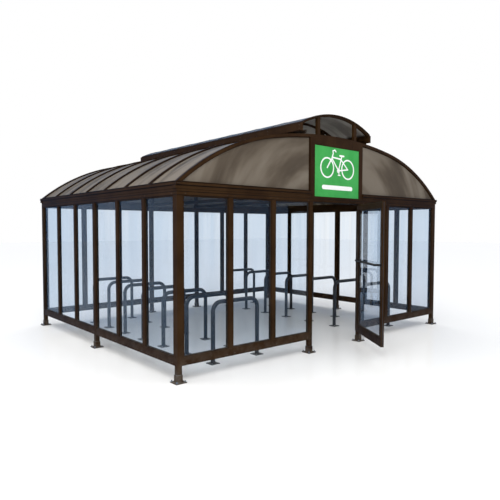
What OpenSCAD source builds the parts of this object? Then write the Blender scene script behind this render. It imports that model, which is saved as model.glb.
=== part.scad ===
// Glazed bike shelter with a barrel roof, a ridge vent, a hinged door and hoop racks.
// Millimetres. +Z is up, the door is in the front wall, which faces -Y.
// The origin is on the ground at the centre of the plan.

/* [Overall] */
// Width over the outer faces of the side walls
shelter_w = 5830; // [5200:10:7200]
// Depth over the outer faces of the front and back walls
shelter_d = 4754; // [4200:10:6000]
// Underside of the header above the ground
header_z = 2242; // [2100:1:2700]
// Rise of the end arches above the eave beams
arch_rise = 851; // [780:1:1100]

/* [Posts and feet] */
// Side of the square posts
post_s = 64; // [50:1:100]
// Width of the glazing jamb on each side of a wall post
jamb_w = 26; // [10:1:50]
// Width of the jamb on each side of a middle post in the side walls
mid_jamb_w = 14; // [8:1:40]
// Side of the square base plates
plate_s = 150; // [110:1:220]
// Thickness of the base plates
plate_t = 10; // [6:1:20]
// Wall of the sleeve round the foot of each post
sleeve_wall = 6; // [3:0.5:15]
// Height of the foot sleeve above the base plate
sleeve_h = 84; // [40:1:140]
// Distance between the anchor holes of a base plate
anchor_pitch = 116; // [80:1:180]
// Radius of the anchor holes
anchor_r = 7; // [4:0.5:12]

/* [Walls] */
// Underside of the bottom rails above the ground
rail_z = 200; // [100:1:400]
// Height of the bottom rails
rail_h = 100; // [60:1:160]
// Width of the upright glazing bars
bar_w = 64; // [40:1:90]
// Depth of rails, jambs and bars through the wall
bar_d = 58; // [40:1:90]
// Thickness of the wall glass
glass_t = 10; // [6:1:16]

/* [Header and eaves] */
// Height of the header beam
header_h = 79; // [60:1:140]
// Height of the lower, less proud part of the eave beam
frieze_h = 41; // [20:1:80]
// Projection of the lower part of the eave beam
frieze_out = 8; // [0:1:30]
// Height of the upper part of the eave beam
eave_h = 40; // [20:1:80]
// Projection of the upper part of the eave beam
eave_out = 20; // [5:1:60]
// Width of the tie beams between front and back headers
tie_w = 60; // [40:1:100]
// Height of the tie beams
tie_h = 64; // [40:1:100]

/* [Roof] */
// Radius of the crown of the arch
crown_r = 7764; // [6000:1:12000]
// Distance from the wall's outer face in to the foot of the arch
arch_inset = 1.3; // [0:0.1:10]
// Angle from upright at which crown and shoulder meet
blend_deg = 9.97; // [6:0.01:16]
// Depth of the end arches below their outer line
rim_h = 40; // [37:1:120]
// Width of the end arches along the shelter
rim_w = 62; // [40:1:100]
// Distance from the outer line of the end arch down to the roof sheet
sheet_drop = 20; // [5:1:50]
// Thickness of the roof sheet
sheet_t = 16; // [6:1:30]
// Number of bays between roof ribs
rib_bays = 7; // [3:1:10]
// Width of a roof rib
rib_w = 46; // [25:1:80]
// Height of a roof rib above the sheet
rib_h = 14; // [6:1:40]
// Half width of the open ridge between the kerbs
ridge_half = 690; // [400:1:800]
// Width of the ridge kerbs
kerb_w = 46; // [30:1:80]
// Thickness of the gable sheets
gable_t = 10; // [5:1:20]

/* [Sign frame] */
// Half of the clear width between the gable uprights
sign_half = 530; // [350:1:650]
// Width of the gable uprights
upright_w = 90; // [50:1:120]
// Height of the sign
sign_h = 775; // [600:1:780]
// Thickness of the sign board
sign_t = 22; // [10:1:40]

/* [Ridge vent] */
// Outer radius of the vent arch
vent_r = 1716; // [1200:1:2600]
// Rise of the vent's crown above the crown of the end arches
vent_rise = 332; // [300:1:500]
// Half width of the vent over its eave beams
vent_half = 830; // [700:1:1000]
// Height of the vent eave beams
vent_eave_h = 110; // [60:1:150]
// Width of the vent eave beams
vent_eave_w = 44; // [30:1:80]
// Thickness of the vent sheet
vent_sheet_t = 12; // [6:1:20]
// Depth of the vent ribs
vent_rib_h = 22; // [15:1:60]
// Distance of the vent posts from the middle of the roof
vent_post_x = 432; // [250:1:600]
// Width of the vent posts
vent_post_w = 60; // [30:1:80]

/* [Door] */
// Clear width of the doorway between the door posts
door_clear = 1126; // [950:1:1400]
// Gap round the door leaf
door_gap = 8; // [6:1:12]
// Underside of the door leaf above the ground
door_z = 170; // [60:1:200]
// Thickness of the door leaf
leaf_t = 45; // [35:1:60]
// Width of the leaf's upright stiles
stile_w = 66; // [50:1:110]
// Height of the leaf's top rail
leaf_top_h = 84; // [50:1:140]
// Height of the leaf's bottom rail
leaf_bottom_h = 120; // [80:1:220]
// Thickness of the door glass
door_glass_t = 8; // [6:1:14]
// Angle by which the leaf stands open
open_deg = 55.5; // [0:0.5:100]
// Distance of the hinge pin in front of the wall
pin_out = 15; // [14:0.5:25]
// Radius of the hinge knuckles
knuckle_r = 9; // [6:0.5:9]
// Height of one hinge knuckle
knuckle_h = 34; // [20:1:50]
// Running gap between hinge knuckles
knuckle_gap = 0.3; // [0.2:0.1:1]
// Reach of the hinge plates from the pin
hinge_reach = 46; // [30:1:60]
// Clearance between the moving hinge plate and the post
strap_clear = 5; // [5:0.5:8]
// Height of the push bar above the ground
bar_z = 1335; // [900:1:1400]
// Radius of the push bar
pushbar_r = 17; // [10:1:20]
// Distance of the push bar's middle from the leaf at the free end
pushbar_off = 92; // [70:1:110]
// Distance of the push bar's middle from the leaf at the hinge end
pushbar_near = 30; // [24:1:60]
// Bend radius of the push bar at the middle of the pipe
pushbar_bend = 22; // [21:1:40]

/* [Racks] */
// Number of hoops in each row
hoops = 7; // [3:1:7]
// Distance between hoops along a row
hoop_pitch = 650; // [500:10:700]
// Distance of the first hoop from the front wall's face
hoop_first = 450; // [350:10:600]
// Width of a hoop between the middles of its legs
hoop_span = 800; // [600:10:900]
// Distance from the side wall's face to a hoop's outer leg
hoop_wall = 850; // [600:10:1000]
// Height of a hoop
hoop_h = 870; // [700:10:1000]
// Radius of the hoop pipe
pipe_r = 30; // [20:1:38]
// Bend radius of the hoop at the middle of the pipe
bend_r = 130; // [90:5:200]
// Side of the square flanges under the hoops
flange_s = 140; // [90:1:180]
// Thickness of the flanges
flange_t = 8; // [5:1:15]

/* [Hidden] */
$fn = 96;
large_fn = 256;                       // steps of the roof's long arcs

bronze = [0.17, 0.12, 0.08];
clear_glass = [0.72, 0.83, 0.88, 0.35];
sheet_grey = [0.50, 0.47, 0.43, 0.8];
e = 0.01;

hw = shelter_w / 2;
hd = shelter_d / 2;
pc = post_s / 2;
wall_c = pc;                          // wall centre line inside the outer face
header_top = header_z + header_h;     // sign and gable parts stand on this
frieze_top = header_top + frieze_h;
eave_top = frieze_top + eave_h;
crown_z = eave_top + arch_rise;
sign_top_z = header_top + sign_h;
vent_crown_z = crown_z + vent_rise;
glass_h = header_z - rail_z - rail_h;
door_post_x = door_clear / 2 + pc;

// Even panes in a front or back side bay and in a side wall bay
bay_x0 = -hw + post_s + jamb_w;
bay_x1 = -door_clear / 2 - post_s;
pane_f = (bay_x1 - bay_x0 - 2 * bar_w) / 3;
side_y0 = -hd + post_s + jamb_w;
side_y1 = -pc - mid_jamb_w;
pane_s = (side_y1 - side_y0 - 2 * bar_w) / 3;
// Edges of pane i, to the nearest millimetre, so that panes and bars meet face to face
function front_lo(i) = i == 0 ? bay_x0 : round(bay_x0 + i * (pane_f + bar_w));
function front_hi(i) = i == 2 ? bay_x1 : front_lo(i + 1) - bar_w;
function side_lo(i) = i == 0 ? side_y0 : round(side_y0 + i * (pane_s + bar_w));
function side_hi(i) = i == 2 ? side_y1 : side_lo(i + 1) - bar_w;

// The crown and the shoulders meet smoothly at blend_deg, and the shoulders end at the foot of the arch
foot_x = hw - arch_inset;
foot_rise = eave_top - (crown_z - crown_r);
foot_reach = foot_x * sin(blend_deg) + foot_rise * cos(blend_deg);
shoulder_r = (2 * crown_r * foot_reach - pow(foot_x, 2) - pow(foot_rise, 2) - pow(crown_r, 2)) / (2 * (foot_reach - crown_r));
shoulder_x = (crown_r - shoulder_r) * sin(blend_deg);
shoulder_z = crown_z - crown_r + (crown_r - shoulder_r) * cos(blend_deg);
function crown_at(x, d) = crown_z - crown_r + sqrt(pow(crown_r - d, 2) - x * x);
vent_c = vent_crown_z - vent_r;
function vent_at(x, d) = vent_c + sqrt(pow(vent_r - d, 2) - x * x);
rib_pitch = (shelter_d - rim_w) / rib_bays;
function rib_y(i) = -hd + rim_w / 2 + i * rib_pitch;

// Hinge line and the leaf in its own frame: x runs from the hinge pin to the free edge
pin_x = door_clear / 2;
pin_y = -hd - pin_out;
leaf_len = door_clear - 2 * door_gap;
leaf_top = header_z - door_gap;
leaf_h = leaf_top - door_z;
hinge_zs = [door_z + 180, (door_z + leaf_top) / 2, leaf_top - 180];

module mid_box(x, y, z, sx, sy, sz) { translate([x - sx / 2, y - sy / 2, z]) cube([sx, sy, sz]); }
module mirror_x() { children(); mirror([1, 0, 0]) children(); }
module mirror_y() { children(); mirror([0, 1, 0]) children(); }
module corners() { mirror_x() mirror_y() children(); }

// Middles of all ten posts
module at_corner_posts() { for (sx = [-1, 1], sy = [-1, 1]) translate([sx * (hw - pc), sy * (hd - pc), 0]) children(); }
module at_side_posts() { for (sx = [-1, 1]) translate([sx * (hw - pc), 0, 0]) children(); }
module at_wall_posts() { for (sx = [-1, 1], sy = [-1, 1]) translate([sx * door_post_x, sy * (hd - pc), 0]) children(); }
module at_all_posts() { at_corner_posts() children(); at_side_posts() children(); at_wall_posts() children(); }

module base_plates() {
  color(bronze) at_all_posts() difference() {
    mid_box(0, 0, 0, plate_s, plate_s, plate_t);
    for (ax = [-1, 1], ay = [-1, 1])
      translate([ax * anchor_pitch / 2, ay * anchor_pitch / 2, -1]) cylinder(r = anchor_r, h = plate_t + 2);
  }
}

module foot_sleeves() {
  color(bronze) at_all_posts() difference() {
    mid_box(0, 0, plate_t, post_s + 2 * sleeve_wall, post_s + 2 * sleeve_wall, sleeve_h);
    mid_box(0, 0, plate_t - 1, post_s, post_s, sleeve_h + 2);
  }
}

module post() { mid_box(0, 0, plate_t, post_s, post_s, header_z - plate_t); }

module corner_posts() {
  color(bronze) corners() translate([-hw + pc, -hd + pc, 0]) {
    post();
    translate([pc - e, -bar_d / 2, rail_z]) cube([jamb_w + e, bar_d, header_z - rail_z]);
    translate([-bar_d / 2, pc - e, rail_z]) cube([bar_d, jamb_w + e, header_z - rail_z]);
  }
}

module side_posts() {
  color(bronze) at_side_posts() {
    post();
    mid_box(0, 0, rail_z, bar_d, post_s + 2 * mid_jamb_w, header_z - rail_z);
  }
}

module door_posts() {
  color(bronze) mirror_x() translate([-door_post_x, -hd + pc, 0]) post();
}

module back_posts() {
  color(bronze) mirror_x() translate([-door_post_x, hd - pc, 0]) post();
}

module end_bay_rail() {
  translate([bay_x0, -hd + pc - bar_d / 2, rail_z]) cube([bay_x1 - bay_x0, bar_d, rail_h]);
}

module front_rails() { color(bronze) mirror_x() end_bay_rail(); }

module back_rails() {
  color(bronze) {
    mirror([0, 1, 0]) mirror_x() end_bay_rail();
    mid_box(0, hd - pc, rail_z, door_clear, bar_d, rail_h);
  }
}

module side_rails() {
  color(bronze) corners()
    translate([-hw + pc - bar_d / 2, side_y0, rail_z]) cube([bar_d, side_y1 - side_y0, rail_h]);
}

module end_bay_bars() {
  for (i = [1, 2]) translate([front_lo(i) - bar_w, -hd + pc - bar_d / 2, rail_z + rail_h])
    cube([bar_w, bar_d, glass_h]);
}

module front_bars() { color(bronze) mirror_x() end_bay_bars(); }
module back_bars() { color(bronze) mirror([0, 1, 0]) mirror_x() end_bay_bars(); }

module side_bars() {
  color(bronze) corners() for (i = [1, 2])
    translate([-hw + pc - bar_d / 2, side_lo(i) - bar_w, rail_z + rail_h]) cube([bar_d, bar_w, glass_h]);
}

module end_bay_glass() {
  for (i = [0, 1, 2]) translate([front_lo(i), -hd + pc - glass_t / 2, rail_z + rail_h])
    cube([front_hi(i) - front_lo(i), glass_t, glass_h]);
}

module front_glass() { color(clear_glass) mirror_x() end_bay_glass(); }

module back_glass() {
  color(clear_glass) {
    mirror([0, 1, 0]) mirror_x() end_bay_glass();
    mid_box(0, hd - pc, rail_z + rail_h, door_clear, glass_t, glass_h);
  }
}

module side_glass() {
  for (i = [0, 1, 2]) mirror_y()
    translate([-hw + pc - glass_t / 2, side_lo(i), rail_z + rail_h])
      cube([glass_t, side_hi(i) - side_lo(i), glass_h]);
}

module left_glass() { color(clear_glass) side_glass(); }
module right_glass() { color(clear_glass) mirror([1, 0, 0]) side_glass(); }

module end_headers() {
  color(bronze) mirror_y() mid_box(0, -hd + pc, header_z, shelter_w, post_s, header_h);
}

module side_headers() {
  color(bronze) mirror_x() mid_box(-hw + pc, 0, header_z, post_s, shelter_d - 2 * post_s, header_h);
}

// One stepped eave beam of length x1 - x0 over the front wall
module eave_run(x0, x1) {
  translate([x0, -hd - frieze_out, header_top]) cube([x1 - x0, post_s + frieze_out, frieze_h + e]);
  translate([x0, -hd - eave_out, frieze_top]) cube([x1 - x0, post_s + eave_out, eave_h]);
}

module end_eaves() {
  color(bronze) {
    mirror_x() eave_run(-hw - eave_out, -sign_half - upright_w);
    mirror([0, 1, 0]) mirror_x() eave_run(-hw - eave_out, -sign_half - upright_w);
  }
}

module side_eaves() {
  color(bronze) mirror_x() {
    mid_box(-hw + (post_s - frieze_out) / 2, 0, header_top, post_s + frieze_out, shelter_d - 2 * post_s, frieze_h + e);
    mid_box(-hw + (post_s - eave_out) / 2, 0, frieze_top, post_s + eave_out, shelter_d - 2 * post_s, eave_h);
  }
}

module tie_beams() {
  color(bronze) mirror_x()
    mid_box(-sign_half - upright_w / 2, 0, header_top, tie_w, shelter_d - 2 * post_s, tie_h);
}

// Everything below the arch, moved in by d from its outer line
module arch_2d(d) {
  for (s = [-1, 1]) translate([s * shoulder_x, shoulder_z]) circle(r = shoulder_r - d, $fn = large_fn);
  intersection() {
    translate([0, crown_z - crown_r]) circle(r = crown_r - d, $fn = large_fn);
    polygon([[0, crown_z - crown_r], [-2 * crown_r * tan(blend_deg), crown_z + crown_r],
             [2 * crown_r * tan(blend_deg), crown_z + crown_r]]);
  }
}

module arch_band_2d(d0, d1, x0, x1, z0) {
  intersection() {
    difference() { arch_2d(d0); arch_2d(d1); }
    translate([x0, z0]) square([x1 - x0, crown_z - z0 + 100]);
  }
}

// Turns a front view drawing into a slab from y0 to y1
module slab(y0, y1) { translate([0, y1, 0]) rotate([90, 0, 0]) linear_extrude(height = y1 - y0) children(); }

sheet_y = hd - rim_w;

module roof_sheets() {
  color(sheet_grey) mirror_x() slab(-sheet_y, sheet_y)
    arch_band_2d(sheet_drop, sheet_drop + sheet_t, -hw, -ridge_half - kerb_w, eave_top);
}

module roof_ribs() {
  color(bronze) for (i = [1 : rib_bays - 1]) mirror_x()
    slab(rib_y(i) - rib_w / 2, rib_y(i) + rib_w / 2)
      arch_band_2d(sheet_drop - rib_h, sheet_drop, -hw, -ridge_half - kerb_w, eave_top);
}

// Flat underside of the ridge ribs and kerbs, below the sheet's edge
ridge_low = crown_at(ridge_half + kerb_w, sheet_drop + sheet_t) - 30;
kerb_top = crown_at(ridge_half, sheet_drop - rib_h);

module ridge_ribs() {
  color(bronze) for (i = [1 : rib_bays - 1])
    slab(rib_y(i) - rib_w / 2, rib_y(i) + rib_w / 2) intersection() {
      arch_2d(sheet_drop - rib_h);
      translate([-ridge_half, ridge_low]) square([2 * ridge_half, crown_z - ridge_low]);
    }
}

module ridge_kerbs() {
  color(bronze) mirror_x()
    mid_box(-ridge_half - kerb_w / 2, 0, ridge_low, kerb_w, 2 * sheet_y, kerb_top - ridge_low);
}

module end_arches() {
  color(bronze) mirror_y() slab(-hd, -hd + rim_w)
    arch_band_2d(0, rim_h, -hw, hw, eave_top);
}

module gable_uprights() {
  color(bronze) mirror_y() mirror_x() slab(-hd, -hd + rim_w) intersection() {
    arch_2d(rim_h);
    translate([-sign_half - upright_w, header_top]) square([upright_w, crown_z - header_top]);
  }
}

module gable_heads() {
  color(bronze) mirror_y() slab(-hd, -hd + rim_w) intersection() {
    arch_2d(rim_h);
    translate([-sign_half, sign_top_z]) square([2 * sign_half, crown_z - sign_top_z]);
  }
}

module gable_side_2d() {
  intersection() {
    arch_2d(rim_h);
    translate([-hw, eave_top]) square([hw - sign_half - upright_w, crown_z - eave_top]);
  }
}

gable_y = -hd + (rim_w - gable_t) / 2;

module front_gable() { color(sheet_grey) mirror_x() slab(gable_y, gable_y + gable_t) gable_side_2d(); }

module back_gable() {
  color(sheet_grey) mirror([0, 1, 0]) {
    mirror_x() slab(gable_y, gable_y + gable_t) gable_side_2d();
    translate([-sign_half, gable_y, header_top]) cube([2 * sign_half, gable_t, sign_top_z - header_top]);
  }
}

module sign_board() {
  color([0.2, 0.56, 0.24]) translate([-sign_half, -hd + 4, header_top]) cube([2 * sign_half, sign_t, sign_top_z - header_top]);
}

vent_eave_z = vent_at(vent_half, 0);

// Each post stands on an end arch or a ridge rib and carries a vent rib
module vent_posts() {
  color(bronze) for (i = [0 : rib_bays]) mirror_x() slab(rib_y(i) - rib_w / 2, rib_y(i) + rib_w / 2) {
    foot = crown_at(vent_post_x - vent_post_w / 2, i == 0 || i == rib_bays ? 0 : sheet_drop - rib_h);
    intersection() {
      translate([-vent_post_x - vent_post_w / 2, foot]) square([vent_post_w, vent_crown_z - foot]);
      translate([0, vent_c]) circle(r = vent_r - vent_sheet_t - vent_rib_h, $fn = large_fn);
    }
  }
}

module vent_eaves() {
  color(bronze) mirror_x()
    mid_box(-vent_half + vent_eave_w / 2, 0, vent_eave_z - vent_eave_h, vent_eave_w, shelter_d, vent_eave_h);
}

module vent_band_2d(d0, d1) {
  intersection() {
    difference() {
      translate([0, vent_c]) circle(r = vent_r - d0, $fn = large_fn);
      translate([0, vent_c]) circle(r = vent_r - d1, $fn = large_fn);
    }
    translate([-vent_half + vent_eave_w, vent_eave_z - 150]) square([2 * (vent_half - vent_eave_w), 600]);
  }
}

module vent_ribs() {
  color(bronze) for (i = [0 : rib_bays]) slab(rib_y(i) - rib_w / 2, rib_y(i) + rib_w / 2)
    vent_band_2d(vent_sheet_t, vent_sheet_t + vent_rib_h);
}

module vent_sheet() { color(sheet_grey) slab(-hd, hd) vent_band_2d(0, vent_sheet_t); }

function hoop_y(i) = -hd + hoop_first + i * hoop_pitch;

module hoop() {
  leg = hoop_h - pipe_r - bend_r - flange_t;
  for (s = [-1, 1]) translate([s * hoop_span / 2, 0, 0]) {
    translate([0, 0, flange_t]) cylinder(r = pipe_r, h = leg);
    translate([-s * bend_r, 0, flange_t + leg]) rotate([90, 0, 0])
      rotate([0, 0, s > 0 ? 0 : 90]) rotate_extrude(angle = 90) translate([bend_r, 0]) circle(r = pipe_r);
  }
  translate([-hoop_span / 2 + bend_r, 0, hoop_h - pipe_r]) rotate([0, 90, 0])
    cylinder(r = pipe_r, h = hoop_span - 2 * bend_r);
}

module rack_hoops() {
  color([0.16, 0.16, 0.17]) for (i = [0 : hoops - 1], s = [-1, 1])
    translate([s * (hw - hoop_wall - hoop_span / 2), hoop_y(i), 0]) hoop();
}

module rack_flanges() {
  color([0.16, 0.16, 0.17]) for (i = [0 : hoops - 1], s = [-1, 1], k = [-1, 1])
    mid_box(s * (hw - hoop_wall - hoop_span / 2) + k * hoop_span / 2, hoop_y(i), 0, flange_s, flange_s, flange_t);
}

// Post side of each hinge: a knuckle above and below the leaf's own
module hinge_brackets() {
  color(bronze) for (z = hinge_zs, dz = [-1.5 * knuckle_h - knuckle_gap, knuckle_h / 2 + knuckle_gap])
    translate([pin_x, pin_y, z + dz]) {
      cylinder(r = knuckle_r, h = knuckle_h);
      cube([hinge_reach, pin_out, knuckle_h]);
    }
}

// Places a leaf drawn closed, at its open angle
module leaf_pose() { translate([pin_x, pin_y, 0]) rotate([0, 0, open_deg]) children(); }

module door_frame() {
  color(bronze) leaf_pose() difference() {
    translate([-door_gap - leaf_len, pin_out, door_z]) cube([leaf_len, leaf_t, leaf_h]);
    translate([-door_gap - leaf_len + stile_w, pin_out - 1, door_z + leaf_bottom_h])
      cube([leaf_len - 2 * stile_w, leaf_t + 2, leaf_h - leaf_bottom_h - leaf_top_h]);
  }
}

module door_glass() {
  color(clear_glass) leaf_pose()
    translate([-door_gap - leaf_len + stile_w, pin_out + (leaf_t - door_glass_t) / 2, door_z + leaf_bottom_h])
      cube([leaf_len - 2 * stile_w, door_glass_t, leaf_h - leaf_bottom_h - leaf_top_h]);
}

// Starts close to the hinge stile and slopes out towards the free stile; its legs are cut off at the leaf's face
module push_bar() {
  x0 = -door_gap - leaf_len + stile_w / 2;
  x1 = -door_gap - stile_w / 2;
  y0 = pin_out + leaf_t;
  b = pushbar_bend;
  slope = atan((pushbar_off - pushbar_near) / (x1 - x0));
  run = (x1 - x0) * cos(slope);
  fall = run * tan(slope);
  color([0.08, 0.08, 0.08]) leaf_pose() translate([0, 0, bar_z]) difference() {
    translate([x1, y0, 0]) rotate([0, 0, -slope]) {
      translate([b - run, pushbar_near, 0]) rotate([0, 90, 0]) cylinder(r = pushbar_r, h = run - 2 * b);
      translate([b - run, pushbar_near - b, 0]) rotate([0, 0, 90]) rotate_extrude(angle = 90)
        translate([b, 0]) circle(r = pushbar_r);
      translate([-b, pushbar_near - b, 0]) rotate_extrude(angle = 90) translate([b, 0]) circle(r = pushbar_r);
      translate([-run, -fall - 10, 0]) rotate([-90, 0, 0]) cylinder(r = pushbar_r, h = fall + 10 + pushbar_near - b);
      translate([0, -10, 0]) rotate([-90, 0, 0]) cylinder(r = pushbar_r, h = 10 + pushbar_near - b);
    }
    translate([x0 - 100, y0 - 50, -50]) cube([x1 - x0 + 200, 50, 100]);
  }
}

// Leaf side of each hinge
module hinge_straps() {
  color(bronze) leaf_pose() for (z = hinge_zs) translate([0, 0, z - knuckle_h / 2]) {
    cylinder(r = knuckle_r, h = knuckle_h);
    translate([-hinge_reach, knuckle_r, 0]) cube([hinge_reach - strap_clear, pin_out - knuckle_r, knuckle_h]);
    translate([-knuckle_r, 0, 0]) cube([knuckle_r - strap_clear, pin_out, knuckle_h]);
  }
}

base_plates();
foot_sleeves();
corner_posts();
side_posts();
door_posts();
back_posts();
front_rails();
back_rails();
side_rails();
front_bars();
back_bars();
side_bars();
front_glass();
back_glass();
left_glass();
right_glass();
end_headers();
side_headers();
end_eaves();
side_eaves();
tie_beams();
roof_sheets();
roof_ribs();
ridge_ribs();
ridge_kerbs();
end_arches();
gable_uprights();
gable_heads();
front_gable();
back_gable();
sign_board();
vent_posts();
vent_eaves();
vent_ribs();
vent_sheet();
rack_hoops();
rack_flanges();
hinge_brackets();
door_frame();
door_glass();
push_bar();
hinge_straps();
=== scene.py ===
"""Looks of a glazed bike shelter with a barrel roof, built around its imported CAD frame."""

import logging
import math
from dataclasses import dataclass, field
from enum import Enum
from itertools import product
from typing import Callable, Iterable, Sequence

import bmesh
import bpy
from mathutils import Matrix, Vector


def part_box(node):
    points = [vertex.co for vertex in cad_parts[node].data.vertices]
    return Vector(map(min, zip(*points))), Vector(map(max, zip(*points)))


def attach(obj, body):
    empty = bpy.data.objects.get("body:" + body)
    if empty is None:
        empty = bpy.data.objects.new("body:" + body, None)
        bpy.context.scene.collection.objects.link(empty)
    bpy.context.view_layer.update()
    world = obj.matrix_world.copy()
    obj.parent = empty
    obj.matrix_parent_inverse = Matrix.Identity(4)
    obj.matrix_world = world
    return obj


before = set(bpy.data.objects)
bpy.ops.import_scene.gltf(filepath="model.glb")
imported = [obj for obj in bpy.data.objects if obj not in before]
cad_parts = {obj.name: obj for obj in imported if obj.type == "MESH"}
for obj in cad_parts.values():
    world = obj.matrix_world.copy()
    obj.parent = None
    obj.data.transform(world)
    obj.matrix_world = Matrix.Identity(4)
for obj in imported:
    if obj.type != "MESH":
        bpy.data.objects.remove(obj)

LOG = logging.getLogger("shelter")
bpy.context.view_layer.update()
Point = Sequence[float]
Colour = tuple[float, float, float]


class Body(str, Enum):
    """The bodies that pieces ride on."""

    SHELTER = "shelter"
    DOOR = "door"


class Slot(str, Enum):
    """The record's material slot names that pieces are built with; nothing here reads them."""

    FRAME = "frame_bronze"
    FOOT = "foot_bronze"
    HINGE = "hinge_bronze"
    BLACK = "bar_black"
    RACK = "rack_steel"
    SIGN = "sign_green"


class Axis(Enum):
    """A direction along one of the shelter's own axes."""

    X = 0
    Y = 1
    Z = 2


# ---------------------------------------------------------------- mesh making


class Solid:
    """A mesh that is built up from closed solids, in metres."""

    def __init__(self) -> None:
        """Starts with nothing in it."""
        self.bm = bmesh.new()
        self.turn = Matrix.Identity(4)

    def vert(self, p: Point) -> bmesh.types.BMVert:
        """Adds a vertex, moved by the current turn."""
        return self.bm.verts.new(self.turn @ Vector(p))

    def face(self, verts: Sequence[bmesh.types.BMVert], inside: Point) -> None:
        """Adds a flat face that looks away from a point inside its solid.

        Args:
            verts: the corners in order.
            inside: a point behind the face.
        """
        centre = sum((v.co for v in verts), Vector()) / len(verts)
        normal = Vector()
        for a, b in zip(verts, [*verts[1:], verts[0]]):
            normal += (a.co - centre).cross(b.co - centre)
        if normal.dot(centre - self.turn @ Vector(inside)) < 0:
            verts = list(reversed(verts))
        self.bm.faces.new(verts)

    def box(self, lo: Point, hi: Point, ease: float = 0.001) -> None:
        """Adds a box with eased edges.

        Args:
            lo: lowest corner.
            hi: highest corner.
            ease: width of the chamfer.
        """
        c = [(a + b) / 2 for a, b in zip(lo, hi)]
        h = [abs(b - a) / 2 for a, b in zip(lo, hi)]
        e = min(ease, 0.4 * min(h))
        v = {}
        for s in product((-1, 1), repeat=3):
            for a in range(3):
                v[s, a] = self.vert([c[i] + s[i] * (h[i] - (0 if i == a else e)) for i in range(3)])
        for a in range(3):
            b, d = (a + 1) % 3, (a + 2) % 3

            def sign(sa: int, sb: int, sd: int) -> tuple[int, ...]:
                """Puts the signs along a, b and d in X, Y, Z order."""
                pairs = {a: sa, b: sb, d: sd}
                return tuple(pairs[i] for i in range(3))

            for t in (-1, 1):
                self.face([v[sign(t, p, q), a] for p, q in ((-1, -1), (1, -1), (1, 1), (-1, 1))], c)
            for p, q in product((-1, 1), repeat=2):
                one, two = sign(-1, p, q), sign(1, p, q)
                self.face([v[one, b], v[two, b], v[two, d], v[one, d]], c)
        for s in product((-1, 1), repeat=3):
            self.face([v[s, 0], v[s, 1], v[s, 2]], c)

    def ring(self, across: Axis, lo: Point, hi: Point, width: float, ease: float = 0.001) -> None:
        """Adds a rectangular frame of four strips, uprights full height.

        Args:
            across: the axis through the frame's opening, X or Y.
            lo: lowest outer corner.
            hi: highest outer corner.
            width: width of the strips.
            ease: width of the chamfers.
        """
        u = 1 - across.value
        for side in (0, 1):
            a, b = list(lo), list(hi)
            if side:
                a[u] = hi[u] - width
            else:
                b[u] = lo[u] + width
            self.box(a, b, ease)
        for top in (0, 1):
            a, b = list(lo), list(hi)
            a[u], b[u] = lo[u] + width, hi[u] - width
            if top:
                a[2] = hi[2] - width
            else:
                b[2] = lo[2] + width
            self.box(a, b, ease)

    def turned(self, profile: Iterable[tuple[float, float]], at: Point, axis: Point, steps: int = 16) -> None:
        """Adds a turned solid.

        Args:
            profile: radius and height pairs from the bottom's centre to the top's centre.
            at: the point at radius 0 and height 0.
            axis: direction of the height.
            steps: steps round.
        """
        z = Vector(axis).normalized()
        x = z.orthogonal().normalized()
        y = z.cross(x)
        at = Vector(at)
        rows = []
        for r, h in profile:
            if r < 1e-7:
                rows.append([self.vert(at + z * h)])
            else:
                rows.append([self.vert(at + z * h + (x * math.cos(t) + y * math.sin(t)) * r)
                             for t in (2 * math.pi * k / steps for k in range(steps))])
        for a, b in zip(rows, rows[1:]):
            for k in range(steps):
                n = (k + 1) % steps
                loop = [a[0]] if len(a) == 1 else [a[k], a[n]]
                loop += [b[0]] if len(b) == 1 else [b[n], b[k]]
                self.bm.faces.new(loop).smooth = True

    def hex_prism(self, across: float, height: float, at: Point, axis: Point, spin: float = 0.0) -> None:
        """Adds a six sided head with a chamfered top.

        Args:
            across: distance across the flats.
            height: height of the head.
            at: middle of its underside.
            axis: direction of its height.
            spin: turn about its axis, in radians.
        """
        r = across / math.sqrt(3)
        z = Vector(axis).normalized()
        x = Matrix.Rotation(spin, 3, z) @ z.orthogonal().normalized()
        y = z.cross(x)
        rows = [[self.vert(Vector(at) + z * h + (x * math.cos(t) + y * math.sin(t)) * q)
                 for t in (math.pi * k / 3 for k in range(6))]
                for q, h in ((r, 0), (r, height * 0.82), (r * 0.86, height))]
        self.bm.faces.new(list(reversed(rows[0])))
        self.bm.faces.new(rows[-1])
        for a, b in zip(rows, rows[1:]):
            for k in range(6):
                n = (k + 1) % 6
                self.bm.faces.new([a[k], a[n], b[n], b[k]])

    def sweep(self, stations: Sequence[Sequence[Point]], smooth: bool = True, closed: bool = False) -> None:
        """Adds a solid through a row of like sections.

        Args:
            stations: the sections, each a loop of points.
            smooth: shades the sides smoothly.
            closed: joins the last section to the first.
        """
        rows = [[self.vert(p) for p in s] for s in stations]
        n = len(rows[0])
        pairs = list(zip(rows, rows[1:])) + ([(rows[-1], rows[0])] if closed else [])
        for a, b in pairs:
            for k in range(n):
                m = (k + 1) % n
                self.bm.faces.new([a[k], a[m], b[m], b[k]]).smooth = smooth
        if not closed:
            self.bm.faces.new(list(reversed(rows[0])))
            self.bm.faces.new(rows[-1])

    def plate(self, outline: Sequence[tuple[float, float]], y0: float, y1: float) -> None:
        """Adds a flat plate that faces the front, from its outline in X and Z.

        Args:
            outline: corners in order.
            y0: front face.
            y1: back face.
        """
        self.sweep([[(x, y0, z) for x, z in outline], [(x, y1, z) for x, z in outline]], smooth=False)

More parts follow.
